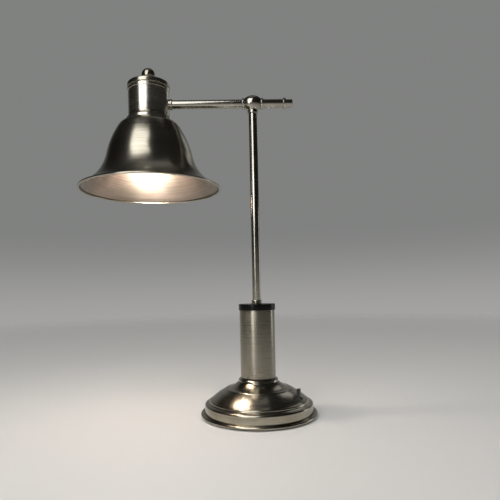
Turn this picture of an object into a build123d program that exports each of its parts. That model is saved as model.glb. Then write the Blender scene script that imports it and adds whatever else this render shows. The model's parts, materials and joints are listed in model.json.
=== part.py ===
from build123d import *

import os
from math import cos, radians, sin, sqrt, tan

# Table lamp with a metal bell shade. Millimetres, +Z up.
# The origin is on the table, under the centre of the base.
# The stem stands on the Z axis and the arm runs along -X to the head.

# Clearances
running_gap = 0.05      # radial, a shaft that turns in its bore
fitted_gap = 0.05       # radial, pieces of one body that are screwed or pushed together
turning_gap = 0.3       # along the axis, faces that turn on each other
ballast_gap = 0.7       # radial, ballast inside the base shell

# Base shell, spun from sheet
base_wall = 1.0
base_band_radius = 75.3
base_band_height = 10.8
rim_lift = 1.2          # rolled rim above the table
rim_bead_radius = 2.1
rim_bead_overhang = 3.8     # bead centre outside the band
flange_rise = 0.6       # flange between band and rim, above the bead's centre
band_root = 0.9         # cove between band and flange
band_root_hollow = 0.25
band_edge_radius = 3.0
shoulder_width = 5.3
shoulder_rise = 1.2
foot_groove_width = 2.8
foot_groove_depth = 3.3
foot_groove_floor = 0.8
foot_bead_width = 1.5
foot_bead_rise = 2.3
foot_bead_bulge = 0.5
dome_rise = 13.9
neck_groove_width = 1.2
neck_groove_depth = 0.4
neck_bead_width = 1.8
neck_bead_rise = 1.7
neck_bead_bulge = 0.6
cove_radius = 43.8      # outer edge of the cove under the collar
cove_rise = 9.2
cove_hollow = 1.5
collar_overhang = 3.4   # collar beyond the column
collar_height = 2.6
collar_draft = 0.4
collar_edge = 1.0

# Felt, ballast and the rod that clamps base and column
felt_thickness = 1.5
rod_radius = 5.0
rod_bore = 3.5
rod_slot_height = 5.6
nut_across_flats = 14.0
nut_height = 4.0
washer_radius = 9.0
washer_thickness = 1.2
nut_recess_radius = 11.0
nut_recess_depth = 6.5
ballast_edge = 1.5
cord_channel_width = 6.0
cord_gap = 0.6          # channel below the cord's inlet

# Column
column_radius = 24.4
column_wall = 1.0
column_height = 97.1
seat_thickness = 2.0
seat_inset = 0.5        # black spacer ring set back from the column's face
seat_spigot_height = 6.0
seat_spigot_wall = 5.0
cap_wall = 1.0
cap_roof = 1.5
cap_skirt_overlap = 4.2     # cap over the column tube
cap_edge_radius = 0.6
cap_hole_clearance = 0.5

# Swivel in the top of the column
housing_flange = 3.0
housing_spigot = 3.0
housing_bearing_length = 10.3
housing_skirt_radius = 13.0
housing_chamber_radius = 10.5
housing_chamber_depth = 20.7
coupler_height = 10.0
coupler_socket_depth = 7.7
spindle_radius = 5.5
spindle_thread_length = 7.4
spindle_spigot_length = 15.0
lead_bore = 3.3
spring_washer_radius = 8.0
spring_washer_height = 1.5
spring_washer_sheet = 0.8

# Stem and tee
tube_radius = 6.0       # stem and arm are the same tube
tube_wall = 1.0
stem_length = 260.6
bead_radius = 7.3
bead_round = 1.3
lower_bead_height = 4.7
upper_bead_height = 4.6
ball_radius = 11.2
ball_foot = 9.5         # flat on the ball, below its centre
ball_boss_radius = 7.2
ball_boss_reach = 11.0
ball_spigot_length = 12.0
bush_wall = 0.55
bush_length = 6.3

# Arm
arm_reach = 144.5       # stem axis to head axis
arm_tail = 44.0         # stem axis to the end of the tube behind the stem
collar_radius = 7.5
collar_length = 3.6
tail_bead_length = 3.8
tail_bead_setback = 1.8     # tail bead covers the end of the tube by this much
tail_cap_radius = 5.6
tail_cap_length = 11.5
tail_cap_spigot = 8.0
tail_cap_edge = 0.8
lead_slot_length = 8.0
lead_slot_rise = 1.1    # upper edge of the slot above the arm's axis
saddle_thickness = 1.2
saddle_radius = 6.9
cup_bead_length = 3.0
arm_nut_across_flats = 17.0
arm_nut_height = 4.0
arm_thread_beyond_nut = 1.2

# Cup over the lampholder
cup_radius = 28.4
cup_wall = 0.8
cup_above_arm = 20.0
cup_below_arm = 24.6
cup_lip_radius = 31.7
cup_lip_height = 3.2
cup_flare_height = 5.4
cup_flare_hollow = 1.1

# Lid of the cup
lid_wall = 0.7
lid_fit = 0.1
lid_skirt_height = 2.5
lid_groove_width = 1.6
lid_groove_depth = 0.5
lid_band_height = 5.7
lid_edge_radius = 2.0
lid_dome_rise = 4.7
lid_dome_bulge = 0.6
lid_flat_radius = 12.6

# Finial, nipple and nuts
finial_radius = 9.5
finial_seat_drop = 8.7  # seat of the neck, below the ball's centre
finial_neck_radius = 6.6
finial_neck_height = 2.2
finial_bore_depth = 14.0
nipple_radius = 5.0
nipple_bore = 3.3
nipple_in_holder = 5.0
nipple_above_lid = 12.0

# Lampholder
holder_flange_radius = 22.5
holder_flange_height = 2.2
holder_skirt_radius = 19.7
holder_skirt_height = 16.0
holder_body_radius = 17.5
holder_body_height = 15.0
holder_taper_height = 12.0
holder_boss_radius = 8.0
holder_boss_height = 4.0
holder_bore_depth = 28.0
socket_bore = 13.5
socket_wall = 0.5
socket_length = 22.0
socket_setback = 2.0
contact_radius = 5.0
contact_thickness = 1.0

# Shade and the ring that clamps it
shade_wall = 0.8
shade_height = 93.6
shade_rim_radius = 96.3
shade_crown_radius = 26.0
shade_shoulder_radius = 43.3
shade_shoulder_drop = 9.5
shade_waist_radius = 59.2
shade_waist_drop = 48.0
shade_rim_bead = 1.5
shade_ring_radius = 24.5
shade_ring_height = 6.0
shade_ring_notches = 8
shade_ring_notch_radius = 1.6

# Bulb
bulb_length = 76.0
bulb_radius = 22.5
bulb_glass_wall = 0.8
bulb_neck_radius = 12.4
bulb_neck_in_cap = 3.0
bulb_neck_angle = 40.0      # where the neck leaves the ball, above its widest part
bulb_cap_radius = 13.1
bulb_cap_wall = 0.5
bulb_cap_length = 25.0
bulb_cap_taper = 4.0
bulb_button_radius = 4.5
bulb_button_height = 1.0

# Inner lead
lead_radius = 1.9
lead_bend_radius = 6.0
lead_above_ballast = 6.0
lead_in_holder = 3.0

# Switch in the base
switch_angle = -27.0    # direction from the stem, seen from above
switch_body_length = 13.0
switch_body_width = 9.0
switch_body_height = 16.5
switch_body_sink = 9.2      # switch body below the top of the ballast
switch_pocket_gap = 0.5
switch_body_chamfer = 2.0
switch_ear_width = 8.0
switch_ear_length = 5.5
switch_ear_thickness = 2.0
switch_screw_radius = 1.5
switch_screw_head = 2.6
switch_screw_length = 8.0
lever_setback = 8.7     # lever in from the foot of the dome
lever_pin_radius = 1.0
lever_hub_radius = 2.6
lever_width = 5.0
lever_thickness = 4.5
lever_height = 16.5     # tip above the hinge pin
lever_waist = 3.6
lever_side_gap = 0.2
lever_offset = 1.5      # hinge pin out from the middle of the switch body
lever_edge = 0.8
lever_throw = 25.0      # degrees, from on to off
lever_slot_gap = 0.4
lever_slot_rise = 6.0   # base shell above the hinge pin

# Cord inlet at the back of the base
inlet_radius = 3.6
inlet_flange_radius = 4.9
inlet_flange_thickness = 1.6
inlet_lip_radius = 4.2
inlet_lip_length = 2.0
inlet_bore = 2.4

# Heights and radii that follow
rim_height = rim_lift + rim_bead_radius
rim_centre_radius = base_band_radius + rim_bead_overhang
flange_height = rim_height + flange_rise
band_foot = flange_height + band_root
band_top = band_foot + base_band_height
shoulder_height = band_top + band_edge_radius
foot_groove_height = shoulder_height + shoulder_rise
foot_groove_radius = base_band_radius - shoulder_width
foot_groove_inner_radius = foot_groove_radius - foot_groove_floor
dome_foot_radius = foot_groove_radius - foot_groove_width
foot_bead_radius = dome_foot_radius + foot_bead_width
shoulder_radius = base_band_radius - band_edge_radius
dome_foot_height = foot_groove_height + foot_groove_depth
foot_bead_height = dome_foot_height - foot_bead_rise
dome_top_height = dome_foot_height + dome_rise
neck_groove_height = dome_top_height - neck_groove_depth
neck_groove_radius = cove_radius + neck_bead_width
dome_top_radius = neck_groove_radius + neck_groove_width
cove_foot_height = neck_groove_height + neck_bead_rise
collar_foot_height = cove_foot_height + cove_rise
collar_top_height = collar_foot_height + collar_height
base_top = collar_top_height + collar_edge
collar_foot_radius = column_radius + collar_overhang
collar_top_radius = collar_foot_radius - collar_draft

column_bore = column_radius - column_wall
column_bottom = base_top + seat_thickness
column_top = column_bottom + column_height
housing_top = column_top + housing_flange
cap_top = housing_top + cap_roof
cap_bottom = column_top - cap_skirt_overlap
cap_radius = column_radius + fitted_gap + cap_wall
bearing_bottom = housing_top - housing_bearing_length
chamber_bottom = bearing_bottom - housing_chamber_depth
rod_hole_radius = rod_radius + fitted_gap
rod_top = chamber_bottom + coupler_socket_depth
coupler_top = chamber_bottom + coupler_height
spindle_shoulder = bearing_bottom - turning_gap
spindle_bottom = spindle_shoulder - spindle_thread_length
spindle_nut_top = spindle_shoulder - spring_washer_height
bearing_radius = spindle_radius + running_gap
lead_hole_radius = lead_radius + turning_gap
lead_joint = (coupler_top + spindle_bottom) / 2

ballast_radius = base_band_radius - base_wall - ballast_gap
ballast_top = shoulder_height - base_wall - fitted_gap
ballast_bottom = felt_thickness
washer_bottom = ballast_bottom + nut_recess_depth - washer_thickness
rod_nut_bottom = washer_bottom - nut_height
rod_bottom = rod_nut_bottom - fitted_gap
lead_height = ballast_top + lead_above_ballast
rod_slot_bottom = lead_height - lead_hole_radius

tube_bore = tube_radius - tube_wall
bead_bottom = cap_top + turning_gap
stem_bottom = bead_bottom + lower_bead_height
stem_top = stem_bottom + stem_length
arm_height = stem_top + upper_bead_height + ball_foot
ball_bore = tube_radius + running_gap + bush_wall + fitted_gap
collar_start = ball_boss_reach + turning_gap
ball_foot_height = arm_height - ball_foot
tail_bead_start = arm_tail - tail_bead_setback

nut_radius = nut_across_flats / sqrt(3)
arm_nut_radius = arm_nut_across_flats / sqrt(3)
cup_bore = cup_radius - cup_wall
arm_nut_face = sqrt((cup_bore - fitted_gap)**2 - arm_nut_radius**2)
arm_end = arm_nut_face - arm_nut_height - arm_thread_beyond_nut
saddle_face = cup_radius + saddle_thickness

cup_top = arm_height + cup_above_arm
cup_bottom = arm_height - cup_below_arm
cup_flare_top = cup_bottom + cup_lip_height + cup_flare_height
cup_lip_bore = cup_lip_radius - cup_wall
shoulder_arc_radius = (
    (shade_shoulder_radius - shade_crown_radius)**2 + shade_shoulder_drop**2
) / (2 * shade_shoulder_drop)
lip_drop = shoulder_arc_radius - sqrt(shoulder_arc_radius**2 - (cup_lip_bore - shade_crown_radius)**2)
shade_top = cup_bottom + lip_drop - fitted_gap
shade_hole_radius = holder_skirt_radius + fitted_gap

lid_radius = cup_radius + lid_fit + lid_wall
lid_groove_bottom = cup_top + lid_wall
lid_groove_top = lid_groove_bottom + lid_groove_width
lid_skirt_bottom = cup_top - lid_skirt_height
lid_band_top = lid_groove_top + lid_band_height
lid_top = lid_band_top + lid_dome_rise
lid_nut_bottom = lid_top - lid_wall - nut_height
finial_height = lid_top + finial_seat_drop

holder_flange_top = shade_top + holder_flange_height
holder_body_top = holder_flange_top + holder_body_height
holder_taper_top = holder_body_top + holder_taper_height
holder_top = holder_taper_top + holder_boss_height
holder_taper = (holder_body_radius - holder_boss_radius) / holder_taper_height
lead_end = holder_body_radius - (arm_height - holder_body_top) * holder_taper - lead_in_holder
holder_mouth = shade_top - holder_skirt_height
holder_floor = holder_mouth + holder_bore_depth
socket_radius = socket_bore + socket_wall
holder_bore = socket_radius + fitted_gap
bulb_top = holder_floor - contact_thickness - fitted_gap
bulb_cap_bottom = bulb_top - bulb_cap_length
bulb_centre = bulb_top - bulb_length + bulb_radius
bulb_neck_top = bulb_cap_bottom + bulb_neck_in_cap

shade_rim_height = shade_top - shade_height
shade_underside = shade_top - shade_wall

lever_radius = dome_foot_radius - lever_setback
switch_body_radius = lever_radius - lever_offset
switch_body_bottom = ballast_top - switch_body_sink
switch_body_top = switch_body_bottom + switch_body_height
lever_pin_height = switch_body_top - lever_hub_radius / 2
switch_cavity = lever_hub_radius + lever_thickness / 4
lever_slot_start = lever_radius - lever_thickness / 2 - lever_slot_gap
lever_slot_length = lever_thickness + 2 * lever_slot_gap + lever_slot_rise * tan(radians(lever_throw))
switch_screw_offset = switch_body_width / 2 + switch_ear_length / 2
inlet_height = (band_foot + band_top) / 2
cord_channel_bottom = inlet_height - inlet_bore - cord_gap
inlet_lip_end = base_band_radius - base_wall - turning_gap - inlet_lip_length

# Planes and axes of the arm and the head
arm_plane = Plane(origin=(0, 0, arm_height), x_dir=(1, 0, 0), z_dir=(0, -1, 0))
arm_axis = Axis((0, 0, arm_height), (1, 0, 0))
head_x = -arm_reach
head_plane = Plane(origin=(head_x, 0, 0), x_dir=(1, 0, 0), z_dir=(0, -1, 0))
head_flat_plane = Plane(origin=(head_x, 0, 0), z_dir=(0, 0, 1))
head_axis = Axis((head_x, 0, 0), (0, 0, 1))
head_arm_plane = Plane(origin=(head_x, 0, arm_height), x_dir=(1, 0, 0), z_dir=(0, -1, 0))

# Planes of the switch: along the radius, and flat
switch_direction = (cos(radians(switch_angle)), sin(radians(switch_angle)), 0)
switch_tangent = (-sin(radians(switch_angle)), cos(radians(switch_angle)), 0)
switch_side_plane = Plane(
    origin=(0, 0, 0), x_dir=switch_direction, z_dir=tuple(-value for value in switch_tangent)
)
switch_flat_plane = Plane(origin=(0, 0, 0), x_dir=switch_direction, z_dir=(0, 0, 1))
switch_outward = Axis((0, 0, 0), switch_direction)
switch_place = tuple(switch_body_radius * value for value in switch_direction[:2])

# Plane of the cord inlet: x runs out of the back
inlet_plane = Plane(origin=(0, 0, inlet_height), x_dir=(0, 1, 0), z_dir=(1, 0, 0))

os.makedirs("parts", exist_ok=True)


def block(left, right, low, high):
    """Draw a rectangle between two x values and two y values in the open sketch."""
    with Locations(((left + right) / 2, (low + high) / 2)):
        Rectangle(right - left, high - low)


def keep(left, right, low, high):
    """Keep only what the open sketch has between two x values and two y values."""
    with Locations(((left + right) / 2, (low + high) / 2)):
        Rectangle(right - left, high - low, mode=Mode.INTERSECT)


def spun_wall(thickness):
    """Turn the half outline of the open sketch into sheet of one thickness on both sides of its axis."""
    make_face()
    mirror(about=Plane.YZ)
    offset(amount=-thickness, mode=Mode.SUBTRACT)


def hexagon(corner_radius, hole_radius):
    """Draw a nut's face in the open sketch."""
    RegularPolygon(radius=corner_radius, side_count=6)
    Circle(hole_radius, mode=Mode.SUBTRACT)


# Base shell: stepped spun sheet with a wired rim, a slot for the switch lever and a cord hole
with BuildPart() as base_shell:
    with BuildSketch(Plane.XZ):
        with BuildLine():
            Line((0, base_top), (collar_top_radius - collar_edge, base_top))
            Line((collar_top_radius - collar_edge, base_top), (collar_top_radius, collar_top_height))
            Line((collar_top_radius, collar_top_height), (collar_foot_radius, collar_foot_height))
            SagittaArc(
                (collar_foot_radius, collar_foot_height),
                (cove_radius, cove_foot_height),
                -cove_hollow,
            )
            SagittaArc(
                (cove_radius, cove_foot_height),
                (neck_groove_radius, neck_groove_height),
                neck_bead_bulge,
            )
            Line((neck_groove_radius, neck_groove_height), (dome_top_radius, dome_top_height))
            Line((dome_top_radius, dome_top_height), (dome_foot_radius, dome_foot_height))
            SagittaArc(
                (dome_foot_radius, dome_foot_height),
                (foot_bead_radius, foot_bead_height),
                foot_bead_bulge,
            )
            Line((foot_bead_radius, foot_bead_height), (foot_groove_inner_radius, foot_groove_height))
            Line((foot_groove_inner_radius, foot_groove_height), (foot_groove_radius, foot_groove_height))
            Line((foot_groove_radius, foot_groove_height), (shoulder_radius, shoulder_height))
            RadiusArc(
                (shoulder_radius, shoulder_height), (base_band_radius, band_top), band_edge_radius
            )
            Line((base_band_radius, band_top), (base_band_radius, band_foot))
            SagittaArc(
                (base_band_radius, band_foot),
                (base_band_radius + band_root, flange_height),
                -band_root_hollow,
            )
            Line((base_band_radius + band_root, flange_height), (rim_centre_radius, flange_height))
            Line((rim_centre_radius, flange_height), (rim_centre_radius, -base_top))
            Line((rim_centre_radius, -base_top), (0, -base_top))
            Line((0, -base_top), (0, base_top))
        spun_wall(base_wall)
        keep(rod_hole_radius, 2 * rim_centre_radius, rim_height - rim_bead_radius / 2, 2 * base_top)
        with Locations((rim_centre_radius, rim_height)):
            Circle(rim_bead_radius)
    revolve(axis=Axis.Z)
    with BuildSketch(switch_flat_plane.offset(ballast_top)):
        block(
            lever_slot_start,
            lever_slot_start + lever_slot_length,
            -lever_width / 2 - lever_slot_gap,
            lever_width / 2 + lever_slot_gap,
        )
    extrude(amount=base_top, mode=Mode.SUBTRACT)
    with BuildSketch(Plane.XZ.offset(-base_band_radius)):
        with Locations((0, inlet_height)):
            Circle(inlet_radius)
    extrude(amount=2 * base_wall, both=True, mode=Mode.SUBTRACT)
base_shell.part.label = "base_shell"
export_step(base_shell.part, "parts/base_shell.step")

# Felt under the ballast
with BuildPart() as base_felt:
    with BuildSketch():
        Circle(ballast_radius)
    extrude(amount=felt_thickness)
base_felt.part.label = "base_felt"
export_step(base_felt.part, "parts/base_felt.step")

# Cast ballast with a nut recess, a pocket for the switch and a channel for the cord
with BuildPart() as base_weight:
    with BuildSketch(Plane.XY.offset(ballast_bottom)):
        Circle(ballast_radius)
    extrude(amount=ballast_top - ballast_bottom)
    chamfer(base_weight.edges().group_by(Axis.Z)[-1], ballast_edge)
    with BuildSketch(Plane.XY.offset(ballast_bottom)):
        Circle(nut_recess_radius)
    extrude(amount=nut_recess_depth, mode=Mode.SUBTRACT)
    with BuildSketch(Plane.XY.offset(ballast_bottom)):
        Circle(rod_hole_radius)
    extrude(amount=ballast_top, mode=Mode.SUBTRACT)
    with BuildSketch(switch_flat_plane.offset(switch_body_bottom)):
        block(
            switch_body_radius - switch_body_length / 2 - switch_pocket_gap,
            switch_body_radius + switch_body_length / 2 + switch_pocket_gap,
            -switch_body_width / 2 - switch_pocket_gap,
            switch_body_width / 2 + switch_pocket_gap,
        )
    extrude(amount=switch_body_height, mode=Mode.SUBTRACT)
    with BuildSketch(switch_flat_plane.offset(ballast_top)):
        with Locations((switch_body_radius, switch_screw_offset), (switch_body_radius, -switch_screw_offset)):
            Circle(switch_screw_radius + fitted_gap)
    extrude(amount=-switch_screw_length, mode=Mode.SUBTRACT)
    with BuildSketch(Plane.XY.offset(ballast_top)):
        with BuildLine():
            Polyline((0, 2 * ballast_radius), (0, ballast_radius / 2), switch_place)
        trace(line_width=cord_channel_width)
    extrude(amount=cord_channel_bottom - ballast_top, mode=Mode.SUBTRACT)
    with BuildSketch(Plane.XZ.offset(-ballast_radius)):
        with Locations((0, inlet_height)):
            Circle(inlet_flange_radius)
    extrude(amount=2 * inlet_lip_length, mode=Mode.SUBTRACT)
base_weight.part.label = "base_weight"
export_step(base_weight.part, "parts/base_weight.step")

# Hollow threaded rod that clamps base and column, slotted for the lead
with BuildPart() as centre_rod:
    with BuildSketch(Plane.XY.offset(rod_bottom)):
        Circle(rod_radius)
        Circle(rod_bore, mode=Mode.SUBTRACT)
    extrude(amount=rod_top - rod_bottom)
    with BuildSketch(switch_side_plane):
        block(0, 2 * rod_radius, rod_slot_bottom, rod_slot_bottom + rod_slot_height)
    extrude(amount=lead_hole_radius, both=True, mode=Mode.SUBTRACT)
centre_rod.part.label = "centre_rod"
export_step(centre_rod.part, "parts/centre_rod.step")

with BuildPart() as rod_washer:
    with BuildSketch(Plane.XY.offset(washer_bottom)):
        Circle(washer_radius)
        Circle(rod_hole_radius, mode=Mode.SUBTRACT)
    extrude(amount=washer_thickness)
rod_washer.part.label = "rod_washer"
export_step(rod_washer.part, "parts/rod_washer.step")

with BuildPart() as rod_nut:
    with BuildSketch(Plane.XY.offset(rod_nut_bottom)):
        hexagon(nut_radius, rod_hole_radius)
    extrude(amount=nut_height)
rod_nut.part.label = "rod_nut"
export_step(rod_nut.part, "parts/rod_nut.step")

# Black spacer between base and column, with a spigot that centres the tube
with BuildPart() as column_seat:
    with BuildSketch(Plane.XZ):
        block(rod_hole_radius, column_radius - seat_inset, base_top, column_bottom)
        block(
            column_bore - fitted_gap - seat_spigot_wall,
            column_bore - fitted_gap,
            base_top,
            column_bottom + seat_spigot_height,
        )
    revolve(axis=Axis.Z)
column_seat.part.label = "column_seat"
export_step(column_seat.part, "parts/column_seat.step")

with BuildPart() as column_tube:
    with BuildSketch(Plane.XY.offset(column_bottom)):
        Circle(column_radius)
        Circle(column_bore, mode=Mode.SUBTRACT)
    extrude(amount=column_height)
column_tube.part.label = "column_tube"
export_step(column_tube.part, "parts/column_tube.step")

# Black cap: its skirt covers the top of the tube and its roof covers the swivel
with BuildPart() as column_cap:
    with BuildSketch(Plane.XZ):
        block(column_radius + fitted_gap, cap_radius, cap_bottom, cap_top)
        block(spindle_radius + cap_hole_clearance, cap_radius, housing_top, cap_top)
    revolve(axis=Axis.Z)
    fillet(column_cap.edges().filter_by(GeomType.CIRCLE).sort_by(SortBy.RADIUS)[-2:], cap_edge_radius)
column_cap.part.label = "column_cap"
export_step(column_cap.part, "parts/column_cap.step")

# Swivel housing: flange on the tube, bearing bore above, chamber for washer and nut below
with BuildPart() as swivel_housing:
    with BuildSketch(Plane.XZ):
        block(bearing_radius, column_radius, column_top, housing_top)
        block(bearing_radius, column_bore - fitted_gap, column_top - housing_spigot, housing_top)
        block(bearing_radius, housing_skirt_radius, bearing_bottom, housing_top)
        block(housing_chamber_radius, housing_skirt_radius, chamber_bottom, housing_top)
    revolve(axis=Axis.Z)
swivel_housing.part.label = "swivel_housing"
export_step(swivel_housing.part, "parts/swivel_housing.step")

with BuildPart() as rod_coupler:
    with BuildSketch(Plane.XZ):
        block(rod_hole_radius, housing_chamber_radius - fitted_gap, chamber_bottom, coupler_top)
        block(lead_bore, housing_chamber_radius - fitted_gap, rod_top, coupler_top)
    revolve(axis=Axis.Z)
rod_coupler.part.label = "rod_coupler"
export_step(rod_coupler.part, "parts/rod_coupler.step")

# Switch: body in the ballast's pocket, with ears, a cavity for the lever and the lever's pin
with BuildPart() as switch_body:
    with BuildSketch(switch_flat_plane.offset(switch_body_bottom)):
        with Locations((switch_body_radius, 0)):
            Rectangle(switch_body_length, switch_body_width)
    extrude(amount=switch_body_height)
    chamfer(switch_body.edges().group_by(Axis.Z)[-1].sort_by(switch_outward)[-1], switch_body_chamfer)
    with BuildSketch(switch_flat_plane.offset(ballast_top)):
        with Locations((switch_body_radius, 0)):
            Rectangle(switch_ear_width, switch_body_width + 2 * switch_ear_length)
        with Locations((switch_body_radius, switch_screw_offset), (switch_body_radius, -switch_screw_offset)):
            Circle(switch_screw_radius + fitted_gap, mode=Mode.SUBTRACT)
    extrude(amount=switch_ear_thickness)
    with BuildSketch(switch_side_plane):
        block(
            lever_radius - switch_cavity,
            lever_radius + switch_cavity,
            lever_pin_height - switch_cavity,
            2 * switch_body_top,
        )
        with Locations((lever_radius, lever_pin_height)):
            Circle(lever_pin_radius, mode=Mode.SUBTRACT)
    extrude(amount=lever_width / 2 + lever_side_gap, both=True, mode=Mode.SUBTRACT)
switch_body.part.label = "switch_body"
export_step(switch_body.part, "parts/switch_body.step")

with BuildPart() as switch_screws:
    with BuildSketch(switch_flat_plane.offset(ballast_top + switch_ear_thickness)):
        with Locations((switch_body_radius, switch_screw_offset), (switch_body_radius, -switch_screw_offset)):
            Circle(switch_screw_head)
    extrude(amount=switch_screw_radius)
    with BuildSketch(switch_flat_plane.offset(ballast_top + switch_ear_thickness)):
        with Locations((switch_body_radius, switch_screw_offset), (switch_body_radius, -switch_screw_offset)):
            Circle(switch_screw_radius)
    extrude(amount=-switch_screw_length)
switch_screws.part.label = "switch_screws"
export_step(switch_screws.part, "parts/switch_screws.step")

# Lever: round hub on the pin, blade that widens towards a rounded tip
with BuildPart() as switch_lever:
    with BuildSketch(switch_side_plane):
        with BuildLine():
            Polyline(
                (lever_radius - lever_waist / 2, lever_pin_height),
                (lever_radius + lever_waist / 2, lever_pin_height),
                (lever_radius + lever_thickness / 2, lever_pin_height + lever_height),
                (lever_radius - lever_thickness / 2, lever_pin_height + lever_height),
                close=True,
            )
        make_face()
        with Locations((lever_radius, lever_pin_height)):
            Circle(lever_hub_radius)
            Circle(lever_pin_radius + running_gap, mode=Mode.SUBTRACT)
    extrude(amount=lever_width / 2, both=True)
    fillet(switch_lever.edges().group_by(Axis.Z)[-1], lever_edge)
switch_lever.part.label = "switch_lever"
export_step(switch_lever.part, "parts/switch_lever.step")

# Snap-in bush of the cord inlet, at the back
with BuildPart() as cord_grommet:
    with BuildSketch(inlet_plane):
        block(base_band_radius, base_band_radius + inlet_flange_thickness, inlet_bore, inlet_flange_radius)
        block(inlet_lip_end, base_band_radius, inlet_bore, inlet_radius - fitted_gap)
        block(inlet_lip_end, inlet_lip_end + inlet_lip_length, inlet_bore, inlet_lip_radius)
    revolve(axis=Axis((0, 0, inlet_height), (0, 1, 0)))
cord_grommet.part.label = "cord_grommet"
export_step(cord_grommet.part, "parts/cord_grommet.step")

# Lead from the switch over the ballast and up the rod
with BuildPart() as riser_lead:
    with BuildLine(switch_side_plane) as riser_path:
        FilletPolyline(
            (switch_body_radius - switch_body_length / 2, lead_height),
            (0, lead_height),
            (0, lead_joint - turning_gap / 2),
            radius=lead_bend_radius,
        )
    with BuildSketch(Plane(origin=riser_path.line @ 0, z_dir=riser_path.line % 0)):
        Circle(lead_radius)
    sweep()
riser_lead.part.label = "riser_lead"
export_step(riser_lead.part, "parts/riser_lead.step")

# Spindle that turns in the housing: thread below, bearing, spigot into the stem
with BuildPart() as swivel_spindle:
    with BuildSketch(Plane.XZ):
        block(lead_bore, rod_radius, spindle_bottom, spindle_shoulder)
        block(lead_bore, spindle_radius, spindle_shoulder, stem_bottom)
        block(lead_bore, tube_bore - fitted_gap, stem_bottom, stem_bottom + spindle_spigot_length)
    revolve(axis=Axis.Z)
swivel_spindle.part.label = "swivel_spindle"
export_step(swivel_spindle.part, "parts/swivel_spindle.step")

# Dished spring washer between nut and housing
with BuildPart() as swivel_washer:
    with BuildSketch(Plane.XZ):
        with BuildLine():
            Polyline(
                (rod_hole_radius, spindle_shoulder - spring_washer_sheet),
                (spring_washer_radius, spindle_nut_top),
                (spring_washer_radius, spindle_nut_top + spring_washer_sheet),
                (rod_hole_radius, spindle_shoulder),
                close=True,
            )
        make_face()
    revolve(axis=Axis.Z)
swivel_washer.part.label = "swivel_washer"
export_step(swivel_washer.part, "parts/swivel_washer.step")

with BuildPart() as swivel_nut:
    with BuildSketch(Plane.XY.offset(spindle_nut_top)):
        hexagon(nut_radius, rod_hole_radius)
    extrude(amount=-nut_height)
swivel_nut.part.label = "swivel_nut"
export_step(swivel_nut.part, "parts/swivel_nut.step")

# Beads at both ends of the stem
with BuildPart() as stem_lower_bead:
    with BuildSketch(Plane.XZ) as lower_bead_outline:
        block(spindle_radius + fitted_gap, bead_radius, bead_bottom, stem_bottom)
        fillet(lower_bead_outline.vertices().sort_by(Axis.X)[-2:], bead_round)
    revolve(axis=Axis.Z)
stem_lower_bead.part.label = "stem_lower_bead"
export_step(stem_lower_bead.part, "parts/stem_lower_bead.step")

with BuildPart() as stem_upper_bead:
    with BuildSketch(Plane.XZ) as upper_bead_outline:
        block(tube_bore, bead_radius, stem_top, stem_top + upper_bead_height)
        fillet(upper_bead_outline.vertices().sort_by(Axis.X)[-2:], bead_round)
    revolve(axis=Axis.Z)
stem_upper_bead.part.label = "stem_upper_bead"
export_step(stem_upper_bead.part, "parts/stem_upper_bead.step")

with BuildPart() as stem_tube:
    with BuildSketch(Plane.XY.offset(stem_bottom)):
        Circle(tube_radius)
        Circle(tube_bore, mode=Mode.SUBTRACT)
    extrude(amount=stem_length)
stem_tube.part.label = "stem_tube"
export_step(stem_tube.part, "parts/stem_tube.step")

# Tee: ball with a boss on each side, bored for the arm, and a hollow spigot into the stem
with BuildPart() as tee_ball:
    with Locations((0, 0, arm_height)):
        Sphere(ball_radius)
    with BuildSketch(Plane.YZ):
        with Locations((0, arm_height)):
            Circle(ball_boss_radius)
    extrude(amount=ball_boss_reach, both=True)
    with BuildSketch(Plane.XY.offset(ball_foot_height)):
        Circle(ball_radius)
    extrude(amount=-ball_radius, mode=Mode.SUBTRACT)
    with BuildSketch(Plane.XY.offset(ball_foot_height)):
        Circle(tube_bore - fitted_gap)
    extrude(amount=-upper_bead_height - ball_spigot_length)
    with BuildSketch(Plane.YZ):
        with Locations((0, arm_height)):
            Circle(ball_bore)
    extrude(amount=ball_radius, both=True, mode=Mode.SUBTRACT)
    with BuildSketch(Plane.XY.offset(arm_height)):
        Circle(lead_bore)
    extrude(amount=-2 * ball_radius - ball_spigot_length, mode=Mode.SUBTRACT)
tee_ball.part.label = "tee_ball"
export_step(tee_ball.part, "parts/tee_ball.step")

# Two sleeves in the ball, in which the arm rolls
with BuildPart() as arm_bushes:
    with BuildSketch(arm_plane):
        for start in (-ball_boss_reach, ball_boss_reach - bush_length):
            block(start, start + bush_length, tube_radius + running_gap, ball_bore - fitted_gap)
    revolve(axis=arm_axis)
arm_bushes.part.label = "arm_bushes"
export_step(arm_bushes.part, "parts/arm_bushes.step")

with BuildPart() as stem_lead:
    with BuildSketch(Plane.XY.offset(lead_joint + turning_gap / 2)):
        Circle(lead_radius)
    extrude(amount=arm_height - lead_radius - turning_gap - lead_joint - turning_gap / 2)
stem_lead.part.label = "stem_lead"
export_step(stem_lead.part, "parts/stem_lead.step")

# Arm: tube with a slot in the ball, through which the lead comes up from the stem
with BuildPart() as arm_tube:
    with BuildSketch(arm_plane):
        block(head_x + arm_end, arm_tail, tube_bore, tube_radius)
    revolve(axis=arm_axis)
    with BuildSketch(arm_plane):
        block(-lead_slot_length / 2, lead_slot_length / 2, -2 * tube_radius, lead_slot_rise)
    extrude(amount=2 * tube_radius, both=True, mode=Mode.SUBTRACT)
arm_tube.part.label = "arm_tube"
export_step(arm_tube.part, "parts/arm_tube.step")

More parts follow.
